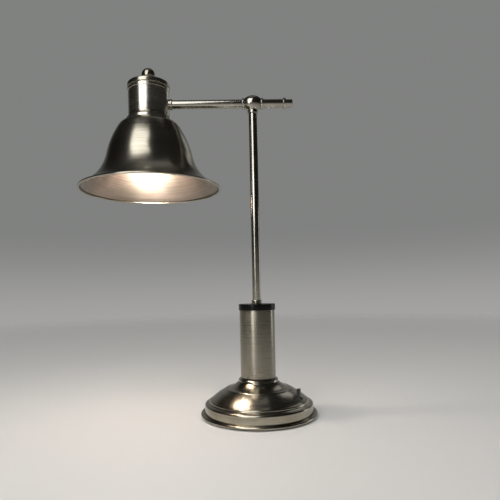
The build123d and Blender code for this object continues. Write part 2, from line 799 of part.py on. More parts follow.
# Collars that hold the arm in the ball
with BuildPart() as arm_collars:
    with BuildSketch(arm_plane) as collar_outline:
        for start in (-collar_start - collar_length, collar_start):
            block(start, start + collar_length, tube_radius + fitted_gap, collar_radius)
        fillet(collar_outline.vertices().group_by(Axis.Y)[-1], bead_round)
    revolve(axis=arm_axis)
arm_collars.part.label = "arm_collars"
export_step(arm_collars.part, "parts/arm_collars.step")

with BuildPart() as arm_end_bead:
    with BuildSketch(arm_plane) as end_bead_outline:
        block(tail_bead_start, tail_bead_start + tail_bead_length, tube_radius + fitted_gap, collar_radius)
        fillet(end_bead_outline.vertices().group_by(Axis.Y)[-1], bead_round)
    revolve(axis=arm_axis)
arm_end_bead.part.label = "arm_end_bead"
export_step(arm_end_bead.part, "parts/arm_end_bead.step")

# Plug that closes the arm behind the end bead
with BuildPart() as arm_end_cap:
    with BuildSketch(arm_plane):
        block(arm_tail, arm_tail + tail_cap_length, 0, tail_cap_radius)
        block(arm_tail - tail_cap_spigot, arm_tail, 0, tube_bore - fitted_gap)
    revolve(axis=arm_axis)
    chamfer(arm_end_cap.edges().group_by(Axis.X)[-1], tail_cap_edge)
arm_end_cap.part.label = "arm_end_cap"
export_step(arm_end_cap.part, "parts/arm_end_cap.step")

# Bead and curved washer where the arm meets the cup
with BuildPart() as arm_cup_bead:
    with BuildSketch(head_arm_plane) as cup_bead_outline:
        block(saddle_face, saddle_face + cup_bead_length, tube_radius + fitted_gap, collar_radius)
        fillet(cup_bead_outline.vertices().group_by(Axis.Y)[-1], bead_round)
    revolve(axis=arm_axis)
arm_cup_bead.part.label = "arm_cup_bead"
export_step(arm_cup_bead.part, "parts/arm_cup_bead.step")

with BuildPart() as arm_saddle:
    with BuildSketch(head_arm_plane):
        block(cup_bore, saddle_face, tube_radius + fitted_gap, saddle_radius)
    revolve(axis=arm_axis)
    with BuildSketch(head_flat_plane.offset(cup_bottom)):
        Circle(cup_radius + fitted_gap)
    extrude(amount=cup_top - cup_bottom, mode=Mode.SUBTRACT)
arm_saddle.part.label = "arm_saddle"
export_step(arm_saddle.part, "parts/arm_saddle.step")

with BuildPart() as arm_nut:
    with BuildSketch(Plane.YZ.offset(head_x + arm_nut_face)):
        with Locations((0, arm_height)):
            hexagon(arm_nut_radius, tube_radius + fitted_gap)
    extrude(amount=-arm_nut_height)
arm_nut.part.label = "arm_nut"
export_step(arm_nut.part, "parts/arm_nut.step")

with BuildPart() as arm_lead:
    with BuildSketch(Plane.YZ.offset(lead_radius)):
        with Locations((0, arm_height)):
            Circle(lead_radius)
    extrude(amount=head_x + lead_end - lead_radius)
arm_lead.part.label = "arm_lead"
export_step(arm_lead.part, "parts/arm_lead.step")

# Cup over the lampholder, flared at its foot, pierced for the arm
with BuildPart() as cup:
    with BuildSketch(head_plane):
        with BuildLine():
            Line((0, 2 * cup_top), (cup_radius, 2 * cup_top))
            Line((cup_radius, 2 * cup_top), (cup_radius, cup_flare_top))
            SagittaArc(
                (cup_radius, cup_flare_top),
                (cup_lip_radius, cup_bottom + cup_lip_height),
                -cup_flare_hollow,
            )
            Line((cup_lip_radius, cup_bottom + cup_lip_height), (cup_lip_radius, 0))
            Line((cup_lip_radius, 0), (0, 0))
            Line((0, 0), (0, 2 * cup_top))
        spun_wall(cup_wall)
        keep(0, 2 * cup_lip_radius, cup_bottom, cup_top)
    revolve(axis=head_axis)
    with BuildSketch(Plane.YZ.offset(head_x)):
        with Locations((0, arm_height)):
            Circle(tube_radius + fitted_gap)
    extrude(amount=2 * cup_radius, mode=Mode.SUBTRACT)
cup.part.label = "cup"
export_step(cup.part, "parts/cup.step")

# Lid pushed over the cup: skirt, groove that rests on the cup's edge, shallow dome
with BuildPart() as cup_lid:
    with BuildSketch(head_plane):
        with BuildLine():
            Line((0, lid_top), (lid_flat_radius, lid_top))
            SagittaArc(
                (lid_flat_radius, lid_top), (lid_radius - lid_edge_radius, lid_band_top), lid_dome_bulge
            )
            RadiusArc(
                (lid_radius - lid_edge_radius, lid_band_top),
                (lid_radius, lid_band_top - lid_edge_radius),
                lid_edge_radius,
            )
            Line((lid_radius, lid_band_top - lid_edge_radius), (lid_radius, lid_groove_top))
            SagittaArc((lid_radius, lid_groove_top), (lid_radius, lid_groove_bottom), -lid_groove_depth)
            Line((lid_radius, lid_groove_bottom), (lid_radius, 0))
            Line((lid_radius, 0), (0, 0))
            Line((0, 0), (0, lid_top))
        spun_wall(lid_wall)
        keep(nipple_radius + fitted_gap, 2 * lid_radius, lid_skirt_bottom, 2 * lid_top)
    revolve(axis=head_axis)
cup_lid.part.label = "cup_lid"
export_step(cup_lid.part, "parts/cup_lid.step")

# Ball finial on a short neck, threaded on the nipple
with BuildPart() as finial:
    with Locations((head_x, 0, finial_height)):
        Sphere(finial_radius)
    with BuildSketch(head_flat_plane.offset(lid_top)):
        Circle(finial_neck_radius)
    extrude(amount=finial_neck_height)
    with BuildSketch(head_flat_plane.offset(lid_top)):
        Circle(finial_radius)
    extrude(amount=-finial_radius, mode=Mode.SUBTRACT)
    with BuildSketch(head_flat_plane.offset(lid_top)):
        Circle(nipple_radius + fitted_gap)
    extrude(amount=finial_bore_depth, mode=Mode.SUBTRACT)
finial.part.label = "finial"
export_step(finial.part, "parts/finial.step")

with BuildPart() as head_nipple:
    with BuildSketch(head_flat_plane.offset(holder_top - nipple_in_holder)):
        Circle(nipple_radius)
        Circle(nipple_bore, mode=Mode.SUBTRACT)
    extrude(amount=lid_top + nipple_above_lid - holder_top + nipple_in_holder)
head_nipple.part.label = "head_nipple"
export_step(head_nipple.part, "parts/head_nipple.step")

# Nuts on the nipple: one on the lampholder, one under the lid
with BuildPart() as nipple_nuts:
    with BuildSketch(head_flat_plane.offset(holder_top), head_flat_plane.offset(lid_nut_bottom)):
        hexagon(nut_radius, nipple_radius + fitted_gap)
    extrude(amount=nut_height)
nipple_nuts.part.label = "nipple_nuts"
export_step(nipple_nuts.part, "parts/nipple_nuts.step")

# Lampholder: threaded skirt below the flange, body and taper above, hole for the lead
with BuildPart() as lampholder:
    with BuildSketch(head_plane):
        with BuildLine():
            Polyline(
                (0, holder_floor),
                (holder_bore, holder_floor),
                (holder_bore, holder_mouth),
                (holder_skirt_radius, holder_mouth),
                (holder_skirt_radius, shade_top),
                (holder_flange_radius, shade_top),
                (holder_flange_radius, holder_flange_top),
                (holder_body_radius, holder_flange_top),
                (holder_body_radius, holder_body_top),
                (holder_boss_radius, holder_taper_top),
                (holder_boss_radius, holder_top),
                (0, holder_top),
                close=True,
            )
        make_face()
    revolve(axis=head_axis)
    with BuildSketch(head_flat_plane.offset(holder_top)):
        Circle(nipple_radius + fitted_gap)
    extrude(amount=-nipple_in_holder, mode=Mode.SUBTRACT)
    with BuildSketch(Plane.YZ.offset(head_x + lead_end)):
        with Locations((0, arm_height)):
            Circle(lead_hole_radius)
    extrude(amount=holder_body_radius, mode=Mode.SUBTRACT)
lampholder.part.label = "lampholder"
export_step(lampholder.part, "parts/lampholder.step")

with BuildPart() as socket_shell:
    with BuildSketch(head_flat_plane.offset(holder_mouth + socket_setback)):
        Circle(socket_radius)
        Circle(socket_bore, mode=Mode.SUBTRACT)
    extrude(amount=socket_length)
socket_shell.part.label = "socket_shell"
export_step(socket_shell.part, "parts/socket_shell.step")

with BuildPart() as socket_contact:
    with BuildSketch(head_flat_plane.offset(holder_floor)):
        Circle(contact_radius)
    extrude(amount=-contact_thickness)
socket_contact.part.label = "socket_contact"
export_step(socket_contact.part, "parts/socket_contact.step")

# Ring that clamps the shade under the lampholder's flange, notched for grip
with BuildPart() as shade_ring:
    with BuildSketch(head_flat_plane.offset(shade_underside)):
        Circle(shade_ring_radius)
        Circle(holder_skirt_radius + fitted_gap, mode=Mode.SUBTRACT)
        with PolarLocations(shade_ring_radius, shade_ring_notches):
            Circle(shade_ring_notch_radius, mode=Mode.SUBTRACT)
    extrude(amount=-shade_ring_height)
shade_ring.part.label = "shade_ring"
export_step(shade_ring.part, "parts/shade_ring.step")

# Bell shade: flat crown, round shoulder, steep side, flare, wired rim
with BuildPart() as shade:
    with BuildSketch(head_plane):
        with BuildLine():
            Line((0, shade_top), (shade_crown_radius, shade_top))
            shoulder = TangentArc(
                (shade_crown_radius, shade_top),
                (shade_shoulder_radius, shade_top - shade_shoulder_drop),
                tangent=(1, 0),
            )
            side = TangentArc(
                shoulder @ 1, (shade_waist_radius, shade_top - shade_waist_drop), tangent=shoulder % 1
            )
            flare = TangentArc(side @ 1, (shade_rim_radius, shade_rim_height), tangent=side % 1)
            Line(flare @ 1, (shade_rim_radius, 0))
            Line((shade_rim_radius, 0), (0, 0))
            Line((0, 0), (0, shade_top))
        spun_wall(shade_wall)
        keep(shade_hole_radius, 2 * shade_rim_radius, shade_rim_height - shade_wall / 2, shade_top)
        with Locations((shade_rim_radius - shade_wall / 2, shade_rim_height - shade_wall / 2)):
            Circle(shade_rim_bead)
    revolve(axis=head_axis)
shade.part.label = "shade"
export_step(shade.part, "parts/shade.step")

# Bulb: hollow glass ball with a drawn-in neck, and its metal cap
with BuildPart() as bulb_glass:
    with BuildSketch(head_plane):
        with BuildLine():
            ball = CenterArc((0, bulb_centre), bulb_radius, -90, 90 + bulb_neck_angle)
            neck = TangentArc(ball @ 1, (bulb_neck_radius, bulb_cap_bottom), tangent=ball % 1)
            Line(neck @ 1, (bulb_neck_radius, bulb_neck_top))
            Line((bulb_neck_radius, bulb_neck_top), (0, bulb_neck_top))
            Line((0, bulb_neck_top), ball @ 0)
        spun_wall(bulb_glass_wall)
        keep(0, 2 * bulb_radius, 0, 2 * bulb_top)
    revolve(axis=head_axis)
bulb_glass.part.label = "bulb_glass"
export_step(bulb_glass.part, "parts/bulb_glass.step")

with BuildPart() as bulb_cap:
    with BuildSketch(head_plane):
        with BuildLine():
            Polyline(
                (0, bulb_top),
                (bulb_button_radius, bulb_top),
                (bulb_button_radius, bulb_top - bulb_button_height),
                (bulb_cap_radius, bulb_top - bulb_cap_taper),
                (bulb_cap_radius, 0),
                (0, 0),
                close=True,
            )
        spun_wall(bulb_cap_wall)
        keep(0, 2 * bulb_cap_radius, bulb_cap_bottom, 2 * bulb_top)
    revolve(axis=head_axis)
bulb_cap.part.label = "bulb_cap"
export_step(bulb_cap.part, "parts/bulb_cap.step")
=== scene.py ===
import json
from math import asin, atan, atan2, ceil, cos, pi, radians, sin, sqrt, tan, tau

import bmesh
import bpy
from bpy.props import FloatProperty, FloatVectorProperty, PointerProperty
from bpy.types import Operator, Panel, PropertyGroup
from mathutils import Matrix, Vector


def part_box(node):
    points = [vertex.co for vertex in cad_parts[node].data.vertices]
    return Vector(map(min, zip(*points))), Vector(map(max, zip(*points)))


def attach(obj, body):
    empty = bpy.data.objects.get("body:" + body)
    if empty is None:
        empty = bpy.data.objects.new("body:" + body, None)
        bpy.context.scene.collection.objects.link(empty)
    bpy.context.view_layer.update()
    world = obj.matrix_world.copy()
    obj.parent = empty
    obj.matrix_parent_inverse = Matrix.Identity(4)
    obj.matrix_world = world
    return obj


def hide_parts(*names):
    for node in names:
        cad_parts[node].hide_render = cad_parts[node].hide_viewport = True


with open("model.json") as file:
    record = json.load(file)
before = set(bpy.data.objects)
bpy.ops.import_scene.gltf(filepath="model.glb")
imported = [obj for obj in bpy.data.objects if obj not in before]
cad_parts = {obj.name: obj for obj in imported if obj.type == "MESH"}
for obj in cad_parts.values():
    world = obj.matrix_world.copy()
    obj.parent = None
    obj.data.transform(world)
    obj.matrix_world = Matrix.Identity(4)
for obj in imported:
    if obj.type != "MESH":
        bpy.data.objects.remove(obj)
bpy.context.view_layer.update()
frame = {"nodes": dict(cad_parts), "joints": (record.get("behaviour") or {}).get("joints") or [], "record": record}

bl_info = {
    "name": "Bell shade table lamp",
    "version": (1, 0, 0),
    "blender": (4, 5, 0),
    "location": "3D View > Sidebar > Lamp",
    "description": "Gives the packed lamp its spun metal, its lit bulb, its small parts and a studio",
    "category": "Object",
}

MM = 0.001
TINY = 1e-6

# Axes that a piece is turned about
UPRIGHT = Matrix.Identity(3)
ALONG_X = Matrix.Rotation(radians(90), 3, "Y")
ALONG_Y = Matrix.Rotation(radians(-90), 3, "X")

# How finely round forms are divided, the last three in steps round a turned piece
ARC_STEP = radians(4)
EASE_STEPS = 4
FINEST = 384
FINE = 192
MEDIUM = 96

# Edges: what shades sharp, what is bevelled, and how much of a side a rounding may take
SHARP_ANGLE = radians(32)
BEVEL_ANGLE = radians(50)
EASE_LIMIT = 0.45

# Gaps between pieces that are fitted and pieces that turn
FITTED_GAP = 0.05 * MM
TURNING_GAP = 0.3 * MM

# Fine sizes: first the roundings of corners, from the base up
COLLAR_EASE = 0.3 * MM
COLLAR_EDGE_EASE = 0.4 * MM
GROOVE_EASE = 0.2 * MM
FELT_EASE = 0.5 * MM
CUT_EASE = 0.1 * MM
SPIGOT_EASE = 0.4 * MM
TAIL_EASE = 1.2 * MM
LIP_EASE = 0.5 * MM
LID_EASE = 0.2 * MM
SLOT_EASE = 0.8 * MM
LEVER_TIP_EASE = 1.3 * MM
INLET_EASE = 0.4 * MM
INLET_FLANGE_EASE = 0.6 * MM

# The switch's slot and the cord inlet: how far their cuts run, and the bush behind the band
SLOT_SINK = 1.0 * MM
SLOT_HEIGHT = 30.0 * MM
INLET_CUT = 4.0 * MM
INLET_LENGTH = 3.2 * MM
INLET_WAIST = 1.2 * MM
INLET_LIP = 0.5 * MM
INLET_LIP_DRAFT = 0.2 * MM

# Short parts of the stem, the ball's spigot and the finial
BEAD_LIP = 0.4 * MM
SPIGOT_BORE = 3.3 * MM
SPIGOT_RADIUS = 4.95 * MM
SPIGOT_LENGTH = 16.6 * MM
FINIAL_FOOT = 0.4 * MM

# The thread's distance from the mouth, and the ring's notches: how far in they reach, and their number
THREAD_START = 0.8 * MM
RING_NOTCH_REACH = 1.92 * MM
RING_BAND = 2.72 * MM
RING_NOTCHES = 8

# Where the lit glass dims: from this far above its lowest point to this far below its top
GLOW_START = 30.0 * MM
GLOW_END = 8.0 * MM


def length(name, description, millimetres):
    """A size in the sidebar, given here in millimetres and kept in metres."""
    return FloatProperty(
        name=name, description=description, default=millimetres * MM, precision=5, unit="LENGTH"
    )


def rotation(name, description, degrees):
    """An angle in the sidebar, given here in degrees and kept in radians."""
    return FloatProperty(name=name, description=description, default=radians(degrees), unit="ROTATION")


def number(name, description, value):
    """A plain number in the sidebar."""
    return FloatProperty(name=name, description=description, default=value)


def colour(name, description, value):
    """A colour in the sidebar."""
    return FloatVectorProperty(
        name=name, description=description, default=value, size=3, min=0, max=1, subtype="COLOR"
    )


def reach(node):
    """The outer radius of a turned solid that stands upright."""
    low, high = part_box(node)
    return (high.y - low.y) / 2


def bottom(node):
    """The lowest height of a solid."""
    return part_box(node)[0].z


def top(node):
    """The greatest height of a solid."""
    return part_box(node)[1].z


def ends(node):
    """Where a solid starts and ends along the arm."""
    low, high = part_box(node)
    return low.x, high.x


def joint_value(name, key):
    """A place or a direction that the frame gives for a joint."""
    for joint in frame["joints"]:
        if joint["name"] == name:
            return Vector(joint[key])
    raise ValueError(name)


def joint_place(name):
    """The point that a joint turns about."""
    return joint_value(name, "pos_m")


def joint_axis(name):
    """The direction that a joint turns about."""
    return joint_value(name, "axis")


class LampBaseSizes(PropertyGroup):
    """Sizes of the spun base, from its top down to the rolled rim."""

    wall: length("Wall", "Thickness of the spun sheet", 1.0)
    collar_overhang: length("Collar overhang", "Collar beyond the column", 3.4)
    collar_height: length("Collar height", "Straight part of the collar", 2.6)
    collar_edge: length("Collar edge", "Chamfer on top of the collar", 1.0)
    collar_draft: length("Collar draft", "How far the collar narrows upwards", 0.4)
    cove_radius: length("Cove radius", "Outer edge of the cove under the collar", 43.8)
    cove_rise: length("Cove rise", "Height of the cove", 9.2)
    cove_hollow: length("Cove hollow", "Depth of the cove", 1.5)
    bead_width: length("Bead width", "Width of the bead at the foot of the cove", 1.8)
    bead_rise: length("Bead rise", "Height of the bead at the foot of the cove", 1.7)
    bead_bulge: length("Bead bulge", "How far that bead stands out", 0.6)
    neck_groove: length("Neck groove", "Width of the groove under the bead", 1.2)
    neck_groove_depth: length("Neck groove depth", "Depth of the groove under the bead", 0.4)
    dome_rise: length("Dome rise", "Height of the dome", 13.9)
    dome_bulge: length("Dome bulge", "How far the dome stands out", 0.9)
    foot_bead: length("Foot bead", "Width of the bead at the foot of the dome", 1.5)
    foot_bead_rise: length("Foot bead rise", "Height of the bead at the foot of the dome", 2.3)
    foot_bead_bulge: length("Foot bead bulge", "How far that bead stands out", 0.5)
    foot_groove: length("Foot groove", "Foot of the dome to the outer edge of its groove", 2.8)
    foot_groove_depth: length("Foot groove depth", "Foot of the dome above the groove", 3.3)
    foot_groove_floor: length("Foot groove floor", "Width of the groove's flat", 0.8)
    shoulder: length("Shoulder", "Groove to the face of the band", 5.3)
    band_edge: length("Band edge", "Round edge between shoulder and band", 3.0)
    band_height: length("Band height", "Straight height of the band", 10.8)
    band_root: length("Band root", "Cove between band and flange", 0.9)
    band_root_hollow: length("Band root hollow", "Depth of that cove", 0.25)
    flange_rise: length("Flange rise", "Flange above the middle of the rim", 0.6)
    rim_bead: length("Rim bead", "Radius of the rolled rim", 2.1)
    rim_overhang: length("Rim overhang", "Middle of the rolled rim outside the band", 3.8)


class LampStemSizes(PropertyGroup):
    """Sizes of column, stem and arm."""

    tube_wall: length("Tube wall", "Wall of the stem, arm and column tubes", 1.0)
    seat_wall: length("Seat wall", "Wall of the seat's spigot in the column", 5.0)
    bead_ease: length("Bead ease", "Rounding of the small rings", 1.4)
    cap_hole: length("Cap hole", "Radius of the hole in the black cap", 6.0)
    cap_ease: length("Cap ease", "Rounding of the black cap's edge", 0.7)
    boss_radius: length("Boss radius", "Radius of the ball's bosses", 7.2)
    bush_radius: length("Bush radius", "Bore of the ball", 6.65)
    edge: length("Edge", "Rounding of turned edges", 0.35)


class LampHeadSizes(PropertyGroup):
    """Sizes of the cup, lid, finial and shade."""

    arm_reach: length("Arm reach", "From the stem's axis to the head's axis", 144.5)
    cup_radius: length("Cup radius", "Outer radius of the cup", 28.4)
    cup_wall: length("Cup wall", "Sheet of the cup", 0.8)
    lip_height: length("Lip height", "Straight edge under the cup's flare", 3.2)
    flare_height: length("Flare height", "Height of the cup's flare", 5.4)
    flare_hollow: length("Flare hollow", "Depth of the cup's flare", 1.1)
    lid_wall: length("Lid wall", "Sheet of the lid", 0.7)
    lid_skirt: length("Lid skirt", "Lid below its groove, over the cup", 3.2)
    lid_groove: length("Lid groove", "Width of the groove round the lid", 2.0)
    lid_groove_depth: length("Lid groove depth", "Depth of the groove round the lid", 1.3)
    lid_band: length("Lid band", "Height of the lid's band with its round edge", 5.7)
    lid_edge: length("Lid edge", "Round edge of the lid", 2.0)
    lid_bulge: length("Lid bulge", "How far the lid's dome stands out", 0.6)
    lid_flat: length("Lid flat", "Radius of the flat that carries the finial", 12.6)
    nipple_radius: length("Nipple radius", "Radius of the hollow rod in the head", 5.0)
    finial_neck: length("Finial neck", "Radius of the finial's neck", 6.6)
    finial_bore: length("Finial bore", "Depth of the finial's bore", 14.0)
    shade_wall: length("Shade wall", "Sheet of the shade", 0.8)
    crown_radius: length("Crown radius", "Flat on top of the shade", 26.0)
    shoulder_radius: length("Shoulder radius", "Where the shoulder ends", 43.3)
    shoulder_drop: length("Shoulder drop", "Depth of the shoulder", 9.5)
    waist_radius: length("Waist radius", "Where the flare starts", 59.2)
    waist_drop: length("Waist drop", "Depth of the waist under the crown", 48.0)
    rim_radius: length("Rim radius", "Rim of the shade without its bead", 96.3)
    shade_height: length("Shade height", "From crown to rim", 93.6)
    rim_bead: length("Rim bead", "Radius of the wire in the rim", 1.5)


class LampLightSizes(PropertyGroup):
    """Sizes of the lampholder and the bulb."""

    holder_skirt: length("Holder skirt", "Radius of the threaded skirt", 19.7)
    holder_body: length("Holder body", "Radius of the lampholder's body", 17.5)
    holder_flange: length("Holder flange", "Height of the flange on the shade", 2.2)
    holder_boss: length("Holder boss", "Radius of the boss round the nipple", 8.0)
    holder_boss_height: length("Holder boss height", "Height of that boss", 4.0)
    holder_taper: length("Holder taper", "Height of the lampholder's taper", 12.0)
    holder_bore: length("Holder bore", "Radius of the lampholder's bore", 14.05)
    holder_bore_depth: length("Holder bore depth", "Depth of the bore", 28.0)
    thread_pitch: length("Thread pitch", "Pitch of the thread for the ring", 2.5)
    thread_depth: length("Thread depth", "How far the thread stands out", 0.35)
    nipple_depth: length("Nipple depth", "Hollow rod inside the boss", 5.0)
    ring_notch: length("Ring notch", "Radius of the ring's notches", 1.6)
    bulb_radius: length("Bulb radius", "Radius of the glass ball", 22.5)
    bulb_neck: length("Bulb neck", "Radius of the glass neck", 12.4)
    bulb_neck_angle: rotation("Neck angle", "How far the ball runs on above its middle", 40)
    bulb_neck_in_cap: length("Neck in cap", "Glass neck inside the cap", 3.0)


class LampSwitchSizes(PropertyGroup):
    """Sizes of the switch lever, its slot and the cord inlet."""

    lever_thickness: length("Lever thickness", "Lever at its tip, along the radius", 4.5)
    lever_waist: length("Lever waist", "Lever at its hinge, along the radius", 3.6)
    lever_width: length("Lever width", "Lever across the radius", 5.0)
    lever_hub: length("Lever hub", "Radius of the hub round the pin", 2.6)
    lever_ease: length("Lever ease", "Rounding of the lever's edges", 0.7)
    lever_throw: rotation("Lever throw", "How far the lever tips outwards", 25)
    slot_gap: length("Slot gap", "Free space round the lever", 0.4)
    slot_rise: length("Slot rise", "Shell above the hinge pin", 6.0)
    inlet_radius: length("Inlet radius", "Hole in the band for the inlet bush", 3.6)
    inlet_flange: length("Inlet flange", "Radius of the bush's flange", 4.9)
    inlet_flange_thickness: length("Flange thickness", "Thickness of that flange", 1.6)
    inlet_bore: length("Inlet bore", "Bore of the bush", 2.4)


class LampFinishes(PropertyGroup):
    """Colours of the lamp."""

    nickel: colour("Nickel", "Brushed antique nickel", (0.44, 0.41, 0.335))
    nickel_dark: colour("Tarnish", "Darker streaks of the nickel", (0.21, 0.19, 0.145))
    # The column's nickel is a darker copy of the same nickel: painted shade
    column: colour("Column", "Darker brushed nickel of the column", (0.27, 0.25, 0.2))
    polished: colour("Polished nickel", "Smooth tubes and rings", (0.45, 0.425, 0.37))
    # The warmer tint inside the shade is painted lamplight on the same nickel
    inside: colour("Shade inside", "Warmer metal inside the shade", (0.48, 0.39, 0.33))
    black: colour("Black", "Cap, seat and switch", (0.004, 0.004, 0.004))
    glow: colour("Glow", "Colour of the lit bulb", (1.0, 0.93, 0.86))
    floor: colour("Floor", "Colour of the floor", (0.64, 0.63, 0.61))


class LampStageSettings(PropertyGroup):
    """Camera and light."""

    distance: length("Distance", "Camera to the stem", 637.0)
    side: length("Side", "Camera to the right of the stem", -25.0)
    height: length("Height", "Camera above the table", 173.4)
    turn: rotation("Turn", "Camera round the stem", 1.2)
    lean: rotation("Lean", "Roll of the camera", 1.22)
    lens: number("Lens", "Focal length in millimetres", 32.76)
    slide: number("Slide", "Sideways shift of the lens", 0.0226)
    rise: number("Rise", "Vertical shift of the lens", 0.0814)
    sensor: number("Sensor", "Width of the sensor in millimetres", 36.0)
    bulb_strength: number("Bulb", "Strength of the lit glass", 90.0)
    floor_radius: length("Floor radius", "Radius of the round floor", 3500.0)
    floor_back: length("Floor back", "Middle of the floor's clear part, behind the stem", 500.0)
    fade_start: length("Fade start", "Where the floor starts to fade", 800.0)
    fade_end: length("Fade end", "Where the floor has faded", 2800.0)


class Section:
    """Half of a turned piece's section. A point is its distance from the axis and its place along it."""

    def __init__(self, x, y):
        self.points = [Vector((x, y))]
        self.eases = [0.0]
        self.heading = Vector((1.0, 0.0))

    def to(self, x, y, ease=0.0):
        """Run straight to a point, whose corner is rounded by ease."""
        self.heading = (Vector((x, y)) - self.points[-1]).normalized()
        self.points.append(Vector((x, y)))
        self.eases.append(ease)
        return self

    def round(self, x, y, angle):
        """Run round a centre by an angle, positive anticlockwise."""
        centre = Vector((x, y))
        arm = self.points[-1] - centre
        steps = max(2, ceil(abs(angle) / ARC_STEP))
        for step in range(1, steps + 1):
            self.points.append(centre + Matrix.Rotation(angle * step / steps, 2) @ arm)
            self.eases.append(0.0)
        arm = self.points[-1] - centre
        self.heading = Vector((-arm.y, arm.x)).normalized() * (1 if angle > 0 else -1)
        return self

    def bow(self, x, y, bulge):
        """Run in an arc that stands out by bulge on the left of the way, or on the right if negative."""
        start = self.points[-1]
        chord = Vector((x, y)) - start
        radius = ((chord.length / 2) ** 2 + bulge**2) / (2 * bulge)
        left = Vector((-chord.y, chord.x)).normalized()
        centre = start + chord / 2 - left * (radius - bulge)
        return self.round(centre.x, centre.y, -4 * atan(2 * bulge / chord.length))

    def flow(self, x, y):
        """Run on from the last stretch, with no corner, in an arc to a point."""
        start = self.points[-1]
        way = Vector((x, y)) - start
        left = Vector((-self.heading.y, self.heading.x))
        centre = start + left * way.length_squared / (2 * way.dot(left))
        return self.round(centre.x, centre.y, 2 * atan2(way.dot(left), way.dot(self.heading)))

    def outline(self):
        """All points, with the eased corners rounded."""
        found = []
        for index, (point, ease) in enumerate(zip(self.points, self.eases)):
            if not ease:
                found.append(point)
                continue
            before = self.points[index - 1] - point
            after = self.points[(index + 1) % len(self.points)] - point
            shortest = min(before.length, after.length)
            cut = min(ease / tan(before.angle(after) / 2), EASE_LIMIT * shortest)
            start = point + before.normalized() * cut
            end = point + after.normalized() * cut
            for step in range(EASE_STEPS + 1):
                t = step / EASE_STEPS
                found.append(start * (1 - t) ** 2 + point * 2 * t * (1 - t) + end * t**2)
        return found

    def inner(self, wall):
        """The outline moved to the right of the way by the thickness of a sheet."""
        points = self.outline()
        found = []
        for index, point in enumerate(points):
            before = point - points[index - 1] if index else points[1] - point
            after = points[index + 1] - point if index + 1 < len(points) else before
            one = Vector((before.y, -before.x)).normalized()
            two = Vector((after.y, -after.x)).normalized()
            found.append(point + (one + two) * wall / (1 + one.dot(two)))
        return found

    def sheet(self, wall):
        """The closed outline of a sheet whose outer face is this line."""
        return self.outline() + self.inner(wall)[::-1]

    def wired_sheet(self, wall, x, y, radius):
        """The closed outline of a sheet whose end is rolled round a wire."""
        centre = Vector((x, y))
        outer = [point for point in self.outline() if (point - centre).length > radius]
        inner = [point for point in self.inner(wall)[::-1] if (point - centre).length > radius]
        start = outer[-1] - centre
        end = inner[0] - centre
        first = atan2(start.y, start.x)
        sweep = (first - atan2(end.y, end.x)) % tau
        steps = ceil(sweep / (2 * ARC_STEP))
        roll = [
            centre + Vector((cos(first - sweep * step / steps), sin(first - sweep * step / steps))) * radius
            for step in range(steps + 1)
        ]
        return outer + roll + inner


def quarter(radius):
    """How far a quarter round stands out beyond the straight line between its ends."""
    return radius * (1 - sqrt(0.5))


def ring(inner, outer, low, high, ease):
    """The outline of a ring with a plain bore and rounded outer edges."""
    return Section(inner, high).to(outer, high, ease).to(outer, low, ease).to(inner, low).outline()


def new_piece(name, corners, faces, finishes, face_finish=None):
    """Make a mesh object with clean normals, smooth faces and sharp edges."""
    mesh = bpy.data.meshes.new(name)
    mesh.from_pydata(corners, [], faces)
    for finish in finishes:
        mesh.materials.append(finish)
    if face_finish:
        mesh.polygons.foreach_set("material_index", face_finish)
    work = bmesh.new()
    work.from_mesh(mesh)
    bmesh.ops.remove_doubles(work, verts=work.verts, dist=TINY)
    bmesh.ops.recalc_face_normals(work, faces=work.faces)
    work.to_mesh(mesh)
    work.free()
    piece = bpy.data.objects.new(name, mesh)
    bpy.context.scene.collection.objects.link(piece)
    smooth(piece)
    return piece


def smooth(piece):
    """Shade a piece smooth, apart from its sharp edges."""
    piece.data.shade_smooth()
    piece.data.set_sharp_from_angle(angle=SHARP_ANGLE)


def turned(
    name, outlines, finishes, centre=(0, 0, 0), axis=UPRIGHT, around=MEDIUM, inside_from=None, shape=None
):
    """Turn closed outlines about an axis. An outline that starts and ends on the axis isn't closed.

    The second finish goes on the faces from the point inside_from on. shape moves a point of the outline,
    given the angle, for a form that isn't quite round.
    """
    corners = []
    faces = []
    face_finish = []
    middle = Vector(centre)
    for outline in outlines:
        first = len(corners)
        count = len(outline)
        open_line = outline[0].x < TINY and outline[-1].x < TINY
        for step in range(around):
            angle = tau * step / around
            for point in outline:
                spot = shape(angle, point) if shape else point
                corners.append(axis @ Vector((spot.x * cos(angle), spot.x * sin(angle), spot.y)) + middle)
        for step in range(around):
            here = first + step * count
            there = first + (step + 1) % around * count
            for index in range(count - 1 if open_line else count):
                after = (index + 1) % count
                faces.append((here + index, there + index, there + after, here + after))
                face_finish.append(1 if inside_from is not None and index >= inside_from else 0)
    return new_piece(name, corners, faces, finishes, face_finish)


def prism(name, outline, low, high, finishes, axes=UPRIGHT, centre=(0, 0, 0)):
    """Make a straight piece from a flat outline.

    The columns of axes are its two flat directions and its length.
    """
    count = len(outline)
    middle = Vector(centre)
    corners = [axes @ Vector((*point, level)) + middle for level in (low, high) for point in outline]
    faces = [(i, (i + 1) % count, (i + 1) % count + count, i + count) for i in range(count)]
    faces += [tuple(range(count)), tuple(range(count, 2 * count))]
    return new_piece(name, corners, faces, finishes)


def settle(piece):
    """Apply a piece's modifiers to its mesh."""
    bpy.context.view_layer.update()
    shaped = bpy.data.meshes.new_from_object(piece.evaluated_get(bpy.context.evaluated_depsgraph_get()))
    piece.modifiers.clear()
    piece.data = shaped
    smooth(piece)


def cut(piece, tool):
    """Take a tool's space out of a piece, and remove the tool."""
    modifier = piece.modifiers.new("cut", "BOOLEAN")
    modifier.object = tool
    modifier.operation = "DIFFERENCE"
    modifier.solver = "EXACT"
    settle(piece)
    bpy.data.objects.remove(tool)


